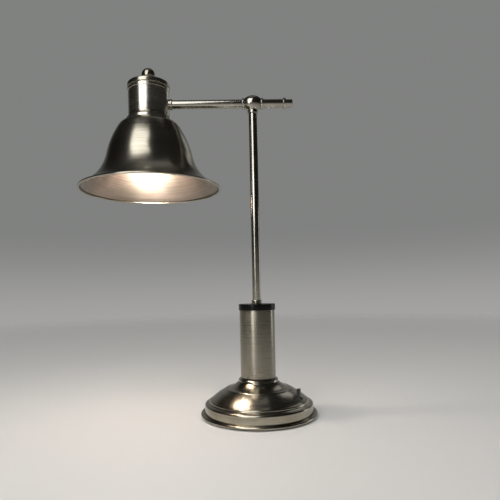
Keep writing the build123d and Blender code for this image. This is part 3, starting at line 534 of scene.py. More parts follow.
def place(piece, body, slot, *nodes):
    """Let a piece ride on a body and stand for solids, which are hidden. The slot is not used."""
    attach(piece, body)
    if nodes:
        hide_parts(*nodes)
    return piece


def math_operator(operation, swapped=False):
    """A Python operator that adds a Math node, with the two sides swapped for a reflected one."""

    def operate(self, other):
        sides = (other, self) if swapped else (self, other)
        return self.math(operation, *sides)

    return operate


class Value:
    """A socket in a Python expression. Each operation adds its Math node."""

    def __init__(self, nodes, socket):
        self.nodes = nodes
        self.socket = socket

    def math(self, operation, *values):
        """Add a Math node."""
        return self.nodes.add("ShaderNodeMath", {"operation": operation}, dict(enumerate(values)))

    __add__ = math_operator("ADD")
    __radd__ = math_operator("ADD", swapped=True)
    __sub__ = math_operator("SUBTRACT")
    __rsub__ = math_operator("SUBTRACT", swapped=True)
    __mul__ = math_operator("MULTIPLY")
    __rmul__ = math_operator("MULTIPLY", swapped=True)
    __truediv__ = math_operator("DIVIDE")
    __rtruediv__ = math_operator("DIVIDE", swapped=True)
    __pow__ = math_operator("POWER")
    __rpow__ = math_operator("POWER", swapped=True)


class Nodes:
    """A shader's node tree, to which nodes are added by type, settings and inputs."""

    def __init__(self, tree):
        self.tree = tree

    def add(self, kind, settings=None, inputs=None, output=0):
        """Add a node, set what it is first, then its inputs, and return one of its outputs."""
        node = self.tree.nodes.new(kind)
        for key, value in (settings or {}).items():
            setattr(node, key, value)
        self.fill(node, inputs or {})
        return Value(self, node.outputs[output])

    def fill(self, node, inputs):
        """Set or link a node's inputs, by name or by number."""
        for key, value in inputs.items():
            if isinstance(value, Value):
                self.tree.links.new(value.socket, node.inputs[key])
            else:
                node.inputs[key].default_value = value

    def noise(self, vector, scale=1.0, detail=2.0, roughness=0.5):
        """A noise between 0 and 1."""
        return self.add(
            "ShaderNodeTexNoise",
            {},
            {"Vector": vector, "Scale": scale, "Detail": detail, "Roughness": roughness},
        )

    def vector(self, x, y, z):
        """A vector from three values."""
        return self.add("ShaderNodeCombineXYZ", {}, {0: x, 1: y, 2: z})

    def blend(self, factor, first, second):
        """A mix of two colours."""
        both = {6: (*first, 1) if isinstance(first, tuple) else first}
        both[7] = (*second, 1) if isinstance(second, tuple) else second
        return self.add("ShaderNodeMix", {"data_type": "RGBA"}, {0: factor, **both}, output=2)

    def span(self, value, low, high, start=0.0, end=1.0):
        """A value mapped smoothly from low and high to start and end, and held beyond them."""
        return self.add(
            "ShaderNodeMapRange",
            {"interpolation_type": "SMOOTHSTEP"},
            {0: value, 1: low, 2: high, 3: start, 4: end},
        )

    def parts(self, vector):
        """The three values of a vector."""
        node = self.add("ShaderNodeSeparateXYZ", {}, {0: vector}).socket.node
        return [Value(self, socket) for socket in node.outputs]


class Finish(Nodes):
    """A material, whose Principled shader each finish sets."""

    def __init__(self, name):
        self.material = bpy.data.materials.new(name)
        self.material.use_nodes = True
        super().__init__(self.material.node_tree)
        self.shader = self.tree.nodes["Principled BSDF"]

    def place(self):
        """The place on the lamp, in metres."""
        return self.add("ShaderNodeTexCoord", output="Object")

    def bump(self, height, distance, strength=1.0):
        """A bump from a height between 0 and 1, for the Normal socket."""
        return self.add("ShaderNodeBump", {}, {"Height": height, "Distance": distance, "Strength": strength})

    def done(self, **inputs):
        """Set the shader's sockets, whose names have _ for a space, and return the material."""
        self.fill(self.shader, {key.replace("_", " "): value for key, value in inputs.items()})
        return self.material


def scaled(shade, factor):
    """A lighter or darker tone of a colour."""
    return tuple(factor * value for value in shade)


# Colours that a finish mixes in
# A light nickel for convex edges: wear together with a painted highlight
WORN_AND_HIGHLIT_NICKEL = (0.72, 0.69, 0.61)
RUST = (0.10, 0.05, 0.03)
PEARL = (0.9, 0.88, 0.84, 1)


def spun_metal(name, light, dark, axis_x=0.0, roughness=0.24, anisotropy=0.6):
    """Brushed sheet round an upright axis; tarnish and painted shade in its hollows, wear and a painted highlight
    on its edges.
    """
    s = Finish(name)
    spot = s.place()
    x, y, z = s.parts(spot)
    x = x - axis_x
    radius = (x * x + y * y) ** 0.5 + TINY
    along = z - radius

    def brushed(around, per_metre, **settings):
        """A noise that is drawn out round the axis and changes quickly along the section."""
        return s.noise(s.vector(x / radius * around, y / radius * around, along * per_metre), **settings)

    lines = brushed(0.4, 1100, detail=3, roughness=0.7)
    bands = brushed(0.12, 220, detail=2)
    cloud = s.noise(spot, scale=24, detail=3)
    tone = s.span(lines * 0.55 + bands * 0.1 + cloud * 0.35, 0.30, 0.60)
    # Pointiness paints edges lighter (wear and painted highlight) and hollows darker (tarnish and painted shade)
    bend = s.add("ShaderNodeNewGeometry", output="Pointiness")
    edges = s.span(bend, 0.505, 0.56, 0.0, 0.8)
    worn_and_highlit = s.blend(edges, s.blend(tone, dark, light), WORN_AND_HIGHLIT_NICKEL)
    tarnish_and_painted_shade = s.span(bend, 0.44, 0.494, 0.0, 1.0)
    return s.done(
        Base_Color=s.blend(tarnish_and_painted_shade, scaled(dark, 0.25), worn_and_highlit),
        Metallic=1.0,
        Roughness=roughness + (lines - 0.5) * 0.14 + (cloud - 0.5) * 0.08,
        Anisotropic=anisotropy,
        Anisotropic_Rotation=0.25,
        Normal=s.bump(lines, 0.03 * MM, 0.5),
    )


def smooth_metal(name, light, roughness=0.2):
    """Polished metal that has dulled a little in handling."""
    s = Finish(name)
    spot = s.place()
    haze = s.noise(spot, scale=90, detail=4)
    cloud = s.noise(spot, scale=26, detail=3)
    return s.done(
        Base_Color=s.blend(s.span(cloud * 0.6 + haze * 0.4, 0.36, 0.62), scaled(light, 0.8), light),
        Metallic=1.0,
        Roughness=roughness + (haze - 0.5) * 0.05,
    )


def plain_plastic(name, shade, roughness, coat=0.0, grain=500, depth=0.02, gloss=0.5):
    """Moulded plastic with a fine grain and faint dust."""
    s = Finish(name)
    spot = s.place()
    grains = s.noise(spot, scale=grain, detail=3)
    dust = s.span(s.noise(spot, scale=60, detail=6, roughness=0.7), 0.5, 0.8)
    dusty = tuple(min(1.0, value * 1.4 + 0.004) for value in shade)
    return s.done(
        Base_Color=s.blend(dust, shade, dusty),
        Roughness=roughness + (grains - 0.5) * 0.08 + dust * 0.08,
        Coat_Weight=coat,
        Coat_Roughness=0.04,
        Specular_IOR_Level=gloss,
        Normal=s.bump(grains, depth * MM, 0.5),
    )


def plated_steel(name, shade=(0.60, 0.60, 0.58)):
    """Zinc plated steel with its faint crystals."""
    s = Finish(name)
    spot = s.place()
    crystals = s.add("ShaderNodeTexVoronoi", {}, {"Vector": spot, "Scale": 700.0}, output="Distance")
    haze = s.noise(spot, scale=220, detail=4)
    return s.done(
        Base_Color=s.blend(s.span(haze, 0.35, 0.65), scaled(shade, 0.7), shade),
        Metallic=1.0,
        Roughness=0.34 + (haze - 0.5) * 0.2,
        Normal=s.bump(crystals, 0.01 * MM, 0.3),
    )


def cast_metal(name, shade=(0.045, 0.045, 0.047)):
    """Rough cast iron under thin paint."""
    s = Finish(name)
    spot = s.place()
    sand = s.noise(spot, scale=420, detail=5, roughness=0.7)
    pits = s.noise(spot, scale=90, detail=3)
    rust = s.span(pits, 0.62, 0.75)
    return s.done(
        Base_Color=s.blend(rust, shade, RUST),
        Roughness=0.62 + (sand - 0.5) * 0.3,
        Normal=s.bump(sand * 0.6 + pits * 0.4, 0.3 * MM, 0.7),
    )


def felt(name, shade=(0.018, 0.018, 0.019)):
    """Pressed felt with short fibres."""
    s = Finish(name)
    x, y, z = s.parts(s.place())
    along, across = 900, 2600
    fibres = s.noise(s.vector(x * along, y * across, z * along), detail=5, roughness=0.75)
    crossed = s.noise(s.vector(x * across, y * along, z * along), detail=5, roughness=0.75)
    fuzz = fibres * 0.5 + crossed * 0.5
    return s.done(
        Base_Color=s.blend(s.span(fuzz, 0.3, 0.7), shade, scaled(shade, 3.2)),
        Roughness=0.92,
        Sheen_Weight=0.25,
        Normal=s.bump(fuzz, 0.35 * MM, 0.8),
    )


def lit_glass(name, glow, strength):
    """Pearl glass, lit from inside, a little dimmer towards its neck."""
    s = Finish(name)
    x, y, z = s.parts(s.place())
    hot = s.span(z, bottom("bulb_glass") + GLOW_START, top("bulb_glass") - GLOW_END, 1.0, 0.45)
    pearl = s.noise(s.vector(x, y, z), scale=700, detail=2)
    return s.done(
        Base_Color=PEARL,
        Roughness=0.3 + (pearl - 0.5) * 0.1,
        Emission_Color=s.blend(hot, scaled(glow, 0.5), glow),
        Emission_Strength=strength,
    )


# The finishes by name, once LampBuildFinishes has made them
FINISHES = {}


class LampBuildFinishes(Operator):
    """Make every finish of the lamp."""

    bl_idname = "lamp.build_finishes"
    bl_label = "Finishes"

    def execute(self, context):
        tones = context.scene.lamp_finishes
        nickel = tuple(tones.nickel)
        tarnish = tuple(tones.nickel_dark)
        head_x = -context.scene.lamp_head.arm_reach
        FINISHES["nickel"] = spun_metal("nickel_brushed", nickel, tarnish, roughness=0.2, anisotropy=0.5)
        # The column's darker nickel is painted shade on the same spun metal
        FINISHES["column_painted_shade_nickel"] = spun_metal(
            "nickel_brushed_column_painted_shade", tuple(tones.column), tarnish, roughness=0.29, anisotropy=0.8
        )
        FINISHES["head_nickel"] = spun_metal("nickel_brushed_head", nickel, tarnish, head_x)
        # Inside the shade: the nickel in a warmer tint, painted lamplight
        FINISHES["shade_inside"] = spun_metal(
            "nickel_shade_inside", tuple(tones.inside), tarnish, head_x, roughness=0.5, anisotropy=0.88
        )
        FINISHES["polished"] = smooth_metal("nickel_polished", tuple(tones.polished), roughness=0.16)
        FINISHES["black"] = plain_plastic(
            "black_gloss", tuple(tones.black), 0.2, grain=140, depth=0.01, gloss=0.15
        )
        FINISHES["black_satin"] = plain_plastic("black_satin", tuple(tones.black), 0.34)
        FINISHES["holder"] = plain_plastic("phenolic", (0.014, 0.012, 0.011), 0.22, coat=0.3)
        FINISHES["nylon"] = plain_plastic("nylon", (0.62, 0.60, 0.54), 0.4)
        FINISHES["lead"] = plain_plastic("lead_insulation", (0.55, 0.52, 0.45), 0.48)
        FINISHES["steel"] = plated_steel("steel_plated")
        FINISHES["brass"] = smooth_metal("brass", (0.76, 0.56, 0.25), roughness=0.25)
        FINISHES["bulb_cap"] = smooth_metal("aluminium_rolled", (0.74, 0.73, 0.71), roughness=0.3)
        FINISHES["iron"] = cast_metal("iron_cast")
        FINISHES["felt"] = felt("felt_black")
        FINISHES["glass"] = lit_glass("glass_lit", tuple(tones.glow), context.scene.lamp_stage.bulb_strength)
        return {"FINISHED"}


def stand_in(name, node, outline, finish, body, slot, centre=(0, 0, 0), around=MEDIUM):
    """Turn a piece about an upright axis, in place of a solid."""
    place(turned(name, [outline], [FINISHES[finish]], centre, around=around), body, slot, node)


class LampBuildBase(Operator):
    """Spin the base, with its lever slot and cord inlet, and lay the felt under it."""

    bl_idname = "lamp.build_base"
    bl_label = "Base"

    def execute(self, context):
        size = context.scene.lamp_base
        small = context.scene.lamp_switch
        base = turned("base_spun_shell", [self.section(size)], [FINISHES["nickel"]], around=FINE)
        cut(base, self.lever_slot(small))
        band_x = reach("base_shell") - size.rim_bead - size.rim_overhang
        band_foot = bottom("base_shell") + size.rim_bead + size.flange_rise + size.band_root
        middle = (0, 0, band_foot + size.band_height / 2)
        start, end = band_x - INLET_CUT, band_x + INLET_CUT
        bore = Section(0, start).to(small.inlet_radius, start).to(small.inlet_radius, end).to(0, end)
        cut(base, turned("inlet_tool", [bore.outline()], [], middle, ALONG_Y))
        place(base, "base", "nickel", "base_shell")
        bush = turned(
            "cord_inlet_bush", [self.bush_section(small, band_x)], [FINISHES["black_satin"]], middle, ALONG_Y
        )
        place(bush, "base", "black_matte", "cord_grommet")
        pad_x, pad_y = reach("base_felt"), top("base_felt")
        pad = Section(0, 0).to(pad_x, 0, FELT_EASE).to(pad_x, pad_y).to(0, pad_y)
        stand_in("felt_pad", "base_felt", pad.outline(), "felt", "base", "felt", around=FINE)
        return {"FINISHED"}

    def section(self, size):
        """The shell's section, from the rod's hole over the dome and the band to the rolled rim."""
        rim_x = reach("base_shell") - size.rim_bead
        rim_y = bottom("base_shell") + size.rim_bead
        band_x = rim_x - size.rim_overhang
        flange_y = rim_y + size.flange_rise
        band_foot = flange_y + size.band_root
        band_top = band_foot + size.band_height
        groove_x = band_x - size.shoulder
        collar_x = reach("column_tube") + size.collar_overhang
        collar_y = top("base_shell") - size.collar_edge
        cove_top = collar_y - size.collar_height
        cove_foot = cove_top - size.cove_rise
        neck_x = size.cove_radius + size.bead_width
        neck_y = cove_foot - size.bead_rise
        dome_top = neck_y + size.neck_groove_depth
        dome_foot = dome_top - size.dome_rise
        dome_foot_x = groove_x - size.foot_groove
        foot_bead_x = dome_foot_x + size.foot_bead
        foot_bead_y = dome_foot - size.foot_bead_rise
        groove_y = dome_foot - size.foot_groove_depth
        shell = Section(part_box("centre_rod")[1].x, top("base_shell"))
        shell.to(collar_x - size.collar_draft - size.collar_edge, top("base_shell"), COLLAR_EASE)
        shell.to(collar_x - size.collar_draft, collar_y, COLLAR_EDGE_EASE)
        shell.to(collar_x, cove_top, COLLAR_EASE)
        shell.bow(size.cove_radius, cove_foot, -size.cove_hollow)
        shell.bow(neck_x, neck_y, size.bead_bulge)
        shell.to(neck_x + size.neck_groove, dome_top)
        shell.bow(dome_foot_x, dome_foot, size.dome_bulge)
        shell.bow(foot_bead_x, foot_bead_y, size.foot_bead_bulge)
        shell.to(groove_x - size.foot_groove_floor, groove_y, GROOVE_EASE)
        shell.to(groove_x, groove_y, GROOVE_EASE)
        shell.to(band_x - size.band_edge, band_top + size.band_edge)
        shell.bow(band_x, band_top, quarter(size.band_edge))
        shell.to(band_x, band_foot)
        shell.bow(band_x + size.band_root, flange_y, -size.band_root_hollow)
        shell.to(rim_x, flange_y)
        return shell.wired_sheet(size.wall, rim_x, rim_y, size.rim_bead)

    def lever_slot(self, small):
        """The space that the lever sweeps through the shell."""
        pin = joint_place("switch_toggle")
        outward = Vector((pin.x, pin.y, 0)).normalized()
        start = -small.lever_thickness / 2 - small.slot_gap
        end = small.lever_thickness / 2 + small.slot_gap + small.slot_rise * tan(small.lever_throw)
        half = small.lever_width / 2 + small.slot_gap
        ease = SLOT_EASE
        hole = Section(start, -half).to(end, -half, ease).to(end, half, ease).to(start, half, ease)
        hole.eases[0] = ease
        axes = Matrix((outward, joint_axis("switch_toggle"), Vector((0, 0, 1)))).transposed()
        return prism("slot_tool", hole.outline(), -SLOT_SINK, SLOT_HEIGHT, [], axes, pin)

    def bush_section(self, small, band_x):
        """The inlet bush's section: a lip behind the sheet, a waist through it and a flange outside."""
        lip_x = small.inlet_radius + INLET_LIP
        flange_y = band_x + small.inlet_flange_thickness
        bush = Section(small.inlet_bore, band_x - INLET_LENGTH)
        bush.to(lip_x, band_x - INLET_LENGTH, INLET_EASE)
        bush.to(lip_x, band_x - INLET_WAIST - INLET_LIP_DRAFT)
        bush.to(small.inlet_radius, band_x - INLET_WAIST).to(small.inlet_radius, band_x)
        bush.to(small.inlet_flange, band_x).to(small.inlet_flange, flange_y, INLET_FLANGE_EASE)
        bush.to(small.inlet_bore, flange_y, INLET_EASE)
        return bush.outline()


class LampBuildColumn(Operator):
    """Turn the column's seat, tube and black cap."""

    bl_idname = "lamp.build_column"
    bl_label = "Column"

    def execute(self, context):
        size = context.scene.lamp_stem
        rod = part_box("centre_rod")[1].x
        radius = reach("column_tube")
        bore = radius - size.tube_wall
        foot = bottom("column_tube")
        seat_x, seat_low, seat_high = reach("column_seat"), bottom("column_seat"), top("column_seat")
        seat = Section(rod, seat_low).to(seat_x, seat_low).to(seat_x, foot, size.edge)
        seat.to(bore - FITTED_GAP, foot).to(bore - FITTED_GAP, seat_high, size.edge)
        seat.to(bore - size.seat_wall, seat_high).to(bore - size.seat_wall, foot).to(rod, foot)
        stand_in("column_foot_seat", "column_seat", seat.outline(), "black_satin", "base", "black")
        tube = ring(bore, radius, foot, top("column_tube"), size.edge)
        stand_in("column_brushed_tube", "column_tube", tube, "column_painted_shade_nickel", "base", "nickel", around=FINE)
        cap_x, cap_low, cap_high = reach("column_cap"), bottom("column_cap"), top("column_cap")
        roof = top("swivel_housing")
        cap = Section(size.cap_hole, cap_high).to(cap_x, cap_high, size.cap_ease)
        cap.to(cap_x, cap_low, size.edge).to(radius + FITTED_GAP, cap_low)
        cap.to(radius + FITTED_GAP, roof).to(size.cap_hole, roof)
        stand_in("column_black_cap", "column_cap", cap.outline(), "black", "base", "black", around=FINE)
        return {"FINISHED"}


class LampBuildStem(Operator):
    """Turn the stem, its two beads and the ball that carries the arm."""

    bl_idname = "lamp.build_stem"
    bl_label = "Stem"

    def execute(self, context):
        size = context.scene.lamp_stem
        radius = reach("stem_tube")
        for name, node in (("stem_foot_bead", "stem_lower_bead"), ("stem_head_bead", "stem_upper_bead")):
            bead = ring(radius - BEAD_LIP, reach(node), bottom(node), top(node), size.bead_ease)
            stand_in(name, node, bead, "polished", "stem", "nickel_polished")
        tube = ring(radius - size.tube_wall, radius, bottom("stem_tube"), top("stem_tube"), CUT_EASE)
        stand_in("stem_polished_tube", "stem_tube", tube, "polished", "stem", "nickel_polished")

        polished = [FINISHES["polished"]]
        ball = reach("tee_ball")
        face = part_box("tee_ball")[1].x
        barrel = Section(size.bush_radius, face).to(size.boss_radius, face)
        barrel.bow(size.boss_radius, -face, ball - size.boss_radius).to(size.bush_radius, -face)
        tee = turned("tee_turned_ball", [barrel.outline()], polished, joint_place("arm_roll"), ALONG_X, FINE)
        seat = (0, 0, top("stem_upper_bead"))
        flat = Section(0, 0).to(ball, 0).to(ball, -ball).to(0, -ball)
        cut(tee, turned("flat_tool", [flat.outline()], [], seat))
        place(tee, "stem", "nickel_polished", "tee_ball")
        spigot = Section(SPIGOT_BORE, 0).to(SPIGOT_RADIUS, 0)
        spigot.to(SPIGOT_RADIUS, -SPIGOT_LENGTH, SPIGOT_EASE).to(SPIGOT_BORE, -SPIGOT_LENGTH)
        place(turned("tee_spigot", [spigot.outline()], polished, seat), "stem", "nickel_polished")
        return {"FINISHED"}


class LampBuildArm(Operator):
    """Turn the arm with its collars, beads and end cap."""

    bl_idname = "lamp.build_arm"
    bl_label = "Arm"

    def execute(self, context):
        size = context.scene.lamp_stem
        radius = reach("stem_tube")
        start, end = ends("arm_tube")
        tube = ring(radius - size.tube_wall, radius, start, end, CUT_EASE)
        self.add("arm_polished_tube", "arm_tube", tube)
        low, high = ends("arm_collars")
        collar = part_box("arm_collars")[1].y
        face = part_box("tee_ball")[1].x + TURNING_GAP
        near = ring(radius, collar, low, -face, size.bead_ease)
        far = ring(radius, collar, face, high, size.bead_ease)
        self.add("arm_stop_collars", "arm_collars", near, far)
        for name, node in (("arm_tail_bead", "arm_end_bead"), ("arm_head_bead", "arm_cup_bead")):
            self.add(name, node, ring(radius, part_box(node)[1].y, *ends(node), size.bead_ease))
        low, high = ends("arm_end_cap")
        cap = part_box("arm_end_cap")[1].y
        neck = radius - size.tube_wall - FITTED_GAP
        plug = Section(0, high).to(cap, high, TAIL_EASE).to(cap, end).to(neck, end)
        plug.to(neck, low, size.edge).to(0, low)
        self.add("arm_tail_cap", "arm_end_cap", plug.outline())
        return {"FINISHED"}

    def add(self, name, node, *outlines):
        """Turn a piece about the arm's axis."""
        piece = turned(name, outlines, [FINISHES["polished"]], joint_place("arm_roll"), ALONG_X)
        place(piece, "arm_head", "nickel_polished", node)


class LampBuildCup(Operator):
    """Spin the cup and its lid, and turn the finial."""

    bl_idname = "lamp.build_cup"
    bl_label = "Cup, lid and finial"

    def execute(self, context):
        size = context.scene.lamp_head
        axis = (-size.arm_reach, 0, 0)
        low, lip = bottom("cup"), reach("cup")
        flare_foot = low + size.lip_height
        cup = Section(size.cup_radius, top("cup")).to(size.cup_radius, flare_foot + size.flare_height)
        cup.bow(lip, flare_foot, -size.flare_hollow).to(lip, low)
        cup.eases[-2] = LIP_EASE
        spun = [FINISHES["head_nickel"]]
        shell = turned("cup_spun", [cup.sheet(size.cup_wall)], spun, axis, around=FINE)
        arm = reach("stem_tube") + FITTED_GAP
        bore = Section(0, 0).to(arm, 0).to(arm, 2 * size.cup_radius).to(0, 2 * size.cup_radius)
        arm_start = (-size.arm_reach, 0, joint_place("arm_roll").z)
        cut(shell, turned("arm_tool", [bore.outline()], [], arm_start, ALONG_X))
        place(shell, "arm_head", "nickel", "cup")

        lid_x, lid_low, lid_top = reach("cup_lid"), bottom("cup_lid"), top("cup_lid")
        groove_low = lid_low + size.lid_skirt
        groove_high = groove_low + size.lid_groove
        band_top = groove_high + size.lid_band
        lid = Section(size.nipple_radius, lid_top).to(size.lid_flat, lid_top)
        lid.bow(lid_x - size.lid_edge, band_top, size.lid_bulge)
        lid.bow(lid_x, band_top - size.lid_edge, quarter(size.lid_edge))
        lid.to(lid_x, groove_high, LID_EASE)
        lid.bow(lid_x, groove_low, -size.lid_groove_depth)
        lid.to(lid_x, lid_low)
        sheet = lid.sheet(size.lid_wall)
        stand_in("cup_spun_lid", "cup_lid", sheet, "head_nickel", "arm_head", "nickel", axis, FINE)

        ball = reach("finial")
        centre = top("finial") - ball
        drop = asin(sqrt(ball**2 - size.finial_neck**2) / ball)
        bore_x = size.nipple_radius + FITTED_GAP
        bore_top = lid_top + size.finial_bore
        knob = Section(0, top("finial")).round(0, centre, -(pi / 2 + drop))
        knob.to(size.finial_neck, lid_top + FINIAL_FOOT)
        knob.to(size.finial_neck, lid_top, context.scene.lamp_stem.edge)
        knob.to(bore_x, lid_top).to(bore_x, bore_top).to(0, bore_top)
        stand_in("finial_ball", "finial", knob.outline(), "head_nickel", "arm_head", "nickel_polished", axis)
        return {"FINISHED"}


class LampBuildShade(Operator):
    """Spin the bell shade round its wired rim."""

    bl_idname = "lamp.build_shade"
    bl_label = "Shade"

    def execute(self, context):
        size = context.scene.lamp_head
        crown = top("shade")
        bell = Section(context.scene.lamp_light.holder_skirt + FITTED_GAP, crown).to(size.crown_radius, crown)
        bell.flow(size.shoulder_radius, crown - size.shoulder_drop)
        bell.flow(size.waist_radius, crown - size.waist_drop)
        bell.flow(size.rim_radius, crown - size.shade_height)
        rim = Vector((size.rim_radius, crown - size.shade_height)) - Vector((1, 1)) * size.shade_wall / 2
        outline = bell.wired_sheet(size.shade_wall, rim.x, rim.y, size.rim_bead)
        inner_count = sum((point - rim).length > size.rim_bead for point in bell.inner(size.shade_wall))
        piece = turned(
            "bell_shade",
            [outline],
            [FINISHES["head_nickel"], FINISHES["shade_inside"]],
            (-size.arm_reach, 0, 0),
            around=FINE,
            inside_from=len(outline) - inner_count - 1,
        )
        place(piece, "arm_head", "nickel", "shade")
        return {"FINISHED"}


class LampBuildLight(Operator):
    """Make the lampholder with its thread and ring, and the bulb."""

    bl_idname = "lamp.build_light"
    bl_label = "Lampholder and bulb"

    def execute(self, context):
        size = context.scene.lamp_light
        head = context.scene.lamp_head
        edge = context.scene.lamp_stem.edge
        axis = (-head.arm_reach, 0, 0)
        holder = self.holder_section(size, head.nipple_radius, edge)
        stand_in("lampholder_moulded", "lampholder", holder, "holder", "arm_head", "holder", axis, FINE)

        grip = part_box("shade_ring")[1].y
        step = tau / RING_NOTCHES

        def notched(angle, point):
            """Set the ring's outer face back in a round notch at each step round it."""
            away = (angle + step / 2) % step - step / 2
            if point.x < grip - RING_NOTCH_REACH or grip * abs(sin(away)) > size.ring_notch:
                return point
            floor_x = grip * cos(away) - sqrt(size.ring_notch**2 - (grip * sin(away)) ** 2)
            return Vector((min(point.x, floor_x), point.y))

        low, high = bottom("shade_ring"), top("shade_ring")
        band_x = grip - RING_BAND
        nut = Section(size.holder_skirt, high).to(band_x, high).to(grip, high, edge).to(grip, low, edge)
        nut.to(band_x, low).to(size.holder_skirt, low, edge)
        clamp = turned(
            "shade_clamp_ring", [nut.outline()], [FINISHES["holder"]], axis, around=FINEST, shape=notched
        )
        place(clamp, "arm_head", "holder", "shade_ring")

        low, cap_low = bottom("bulb_glass"), bottom("bulb_cap")
        neck_top = cap_low + size.bulb_neck_in_cap
        glass = Section(0, low).round(0, low + size.bulb_radius, pi / 2 + size.bulb_neck_angle)
        glass.flow(size.bulb_neck, cap_low).to(size.bulb_neck, neck_top).to(0, neck_top)
        stand_in("bulb_lit_glass", "bulb_glass", glass.outline(), "glass", "arm_head", "bulb_glass", axis)
        return {"FINISHED"}

    def holder_section(self, size, nipple_radius, edge):
        """The lampholder's section, from its bore over the threaded skirt and the flange to its boss."""
        mouth, peak = bottom("lampholder"), top("lampholder")
        crown = top("shade")
        flange_x, flange_top = reach("lampholder"), crown + size.holder_flange
        taper_top = peak - size.holder_boss_height
        floor = mouth + size.holder_bore_depth
        skirt = size.holder_skirt - size.thread_depth
        thread = mouth + THREAD_START
        body = Section(0, floor).to(size.holder_bore, floor).to(size.holder_bore, mouth, edge)
        body.to(skirt, mouth, edge).to(skirt, thread)
        for turn in range(int((bottom("shade_ring") - mouth) / size.thread_pitch)):
            body.bow(skirt, thread + (turn + 1) * size.thread_pitch, -size.thread_depth)
        body.to(skirt, crown).to(flange_x, crown, edge).to(flange_x, flange_top, edge)
        body.to(size.holder_body, flange_top).to(size.holder_body, taper_top - size.holder_taper, edge)
        body.to(size.holder_boss, taper_top, edge).to(size.holder_boss, peak, edge)
        roof = peak - size.nipple_depth
        body.to(nipple_radius, peak).to(nipple_radius, roof).to(0, roof)
        return body.outline()


class LampBuildSwitch(Operator):
    """Make the switch lever, upright at rest."""

    bl_idname = "lamp.build_switch"
    bl_label = "Switch lever"

    def execute(self, context):
        size = context.scene.lamp_switch
        pin = joint_place("switch_toggle")
        outward = Vector((pin.x, pin.y, 0)).normalized()
        tip = top("switch_lever") - pin.z
        thick = size.lever_thickness / 2
        waist = size.lever_waist / 2
        rise = sqrt(size.lever_hub**2 - waist**2)
        blade = Section(waist, rise).to(thick, tip, LEVER_TIP_EASE).to(-thick, tip, LEVER_TIP_EASE)
        blade.to(-waist, rise).round(0, 0, 2 * (pi - asin(waist / size.lever_hub)))
        blade.points.pop()
        blade.eases.pop()
        axes = Matrix((outward, Vector((0, 0, 1)), -joint_axis("switch_toggle"))).transposed()
        half = size.lever_width / 2
        satin = [FINISHES["black_satin"]]
        lever = prism("switch_lever_blade", blade.outline(), -half, half, satin, axes, pin)
        bevel = lever.modifiers.new("edges", "BEVEL")
        bevel.width = size.lever_ease
        bevel.segments = EASE_STEPS
        bevel.angle_limit = BEVEL_ANGLE
        settle(lever)
        place(lever, "switch", "black_matte", "switch_lever")
        return {"FINISHED"}


class LampFinishSolids(Operator):
    """Give the solids that stay as they are their finish."""

    bl_idname = "lamp.finish_solids"
    bl_label = "Inner parts"

    def execute(self, context):
        slot_finish = {
            "nickel": "nickel",
            "nickel_polished": "polished",
            "steel": "steel",
            "iron": "iron",
            "felt": "felt",
            "black": "black",
            "black_matte": "black_satin",
            "bushing": "nylon",
            "brass": "brass",
            "holder": "holder",
            "bulb_glass": "glass",
            "bulb_cap": "bulb_cap",
            "lead": "lead",
        }
        for part in frame["record"]["subparts"]:
            mesh = frame["nodes"][part["node"]].data
            mesh.materials.clear()
            mesh.materials.append(FINISHES[slot_finish[part["material_slot"]]])
        return {"FINISHED"}


def look_at(piece, target):
    """Turn a light towards a point."""
    piece.rotation_euler = (Vector(target) - piece.location).to_track_quat("-Z", "Y").to_euler()


def softbox(name, location, target, width, height, power, spread=180):
    """A soft rectangular lamp that the camera doesn't see, with the spread of its beam in degrees."""
    light = bpy.data.lights.new(name, "AREA")
    light.shape = "RECTANGLE"
    light.size = width
    light.size_y = height
    light.energy = power
    light.spread = radians(spread)
    piece = bpy.data.objects.new(name, light)
    piece.location = location
    look_at(piece, target)
    piece.visible_camera = False
    bpy.context.scene.collection.objects.link(piece)


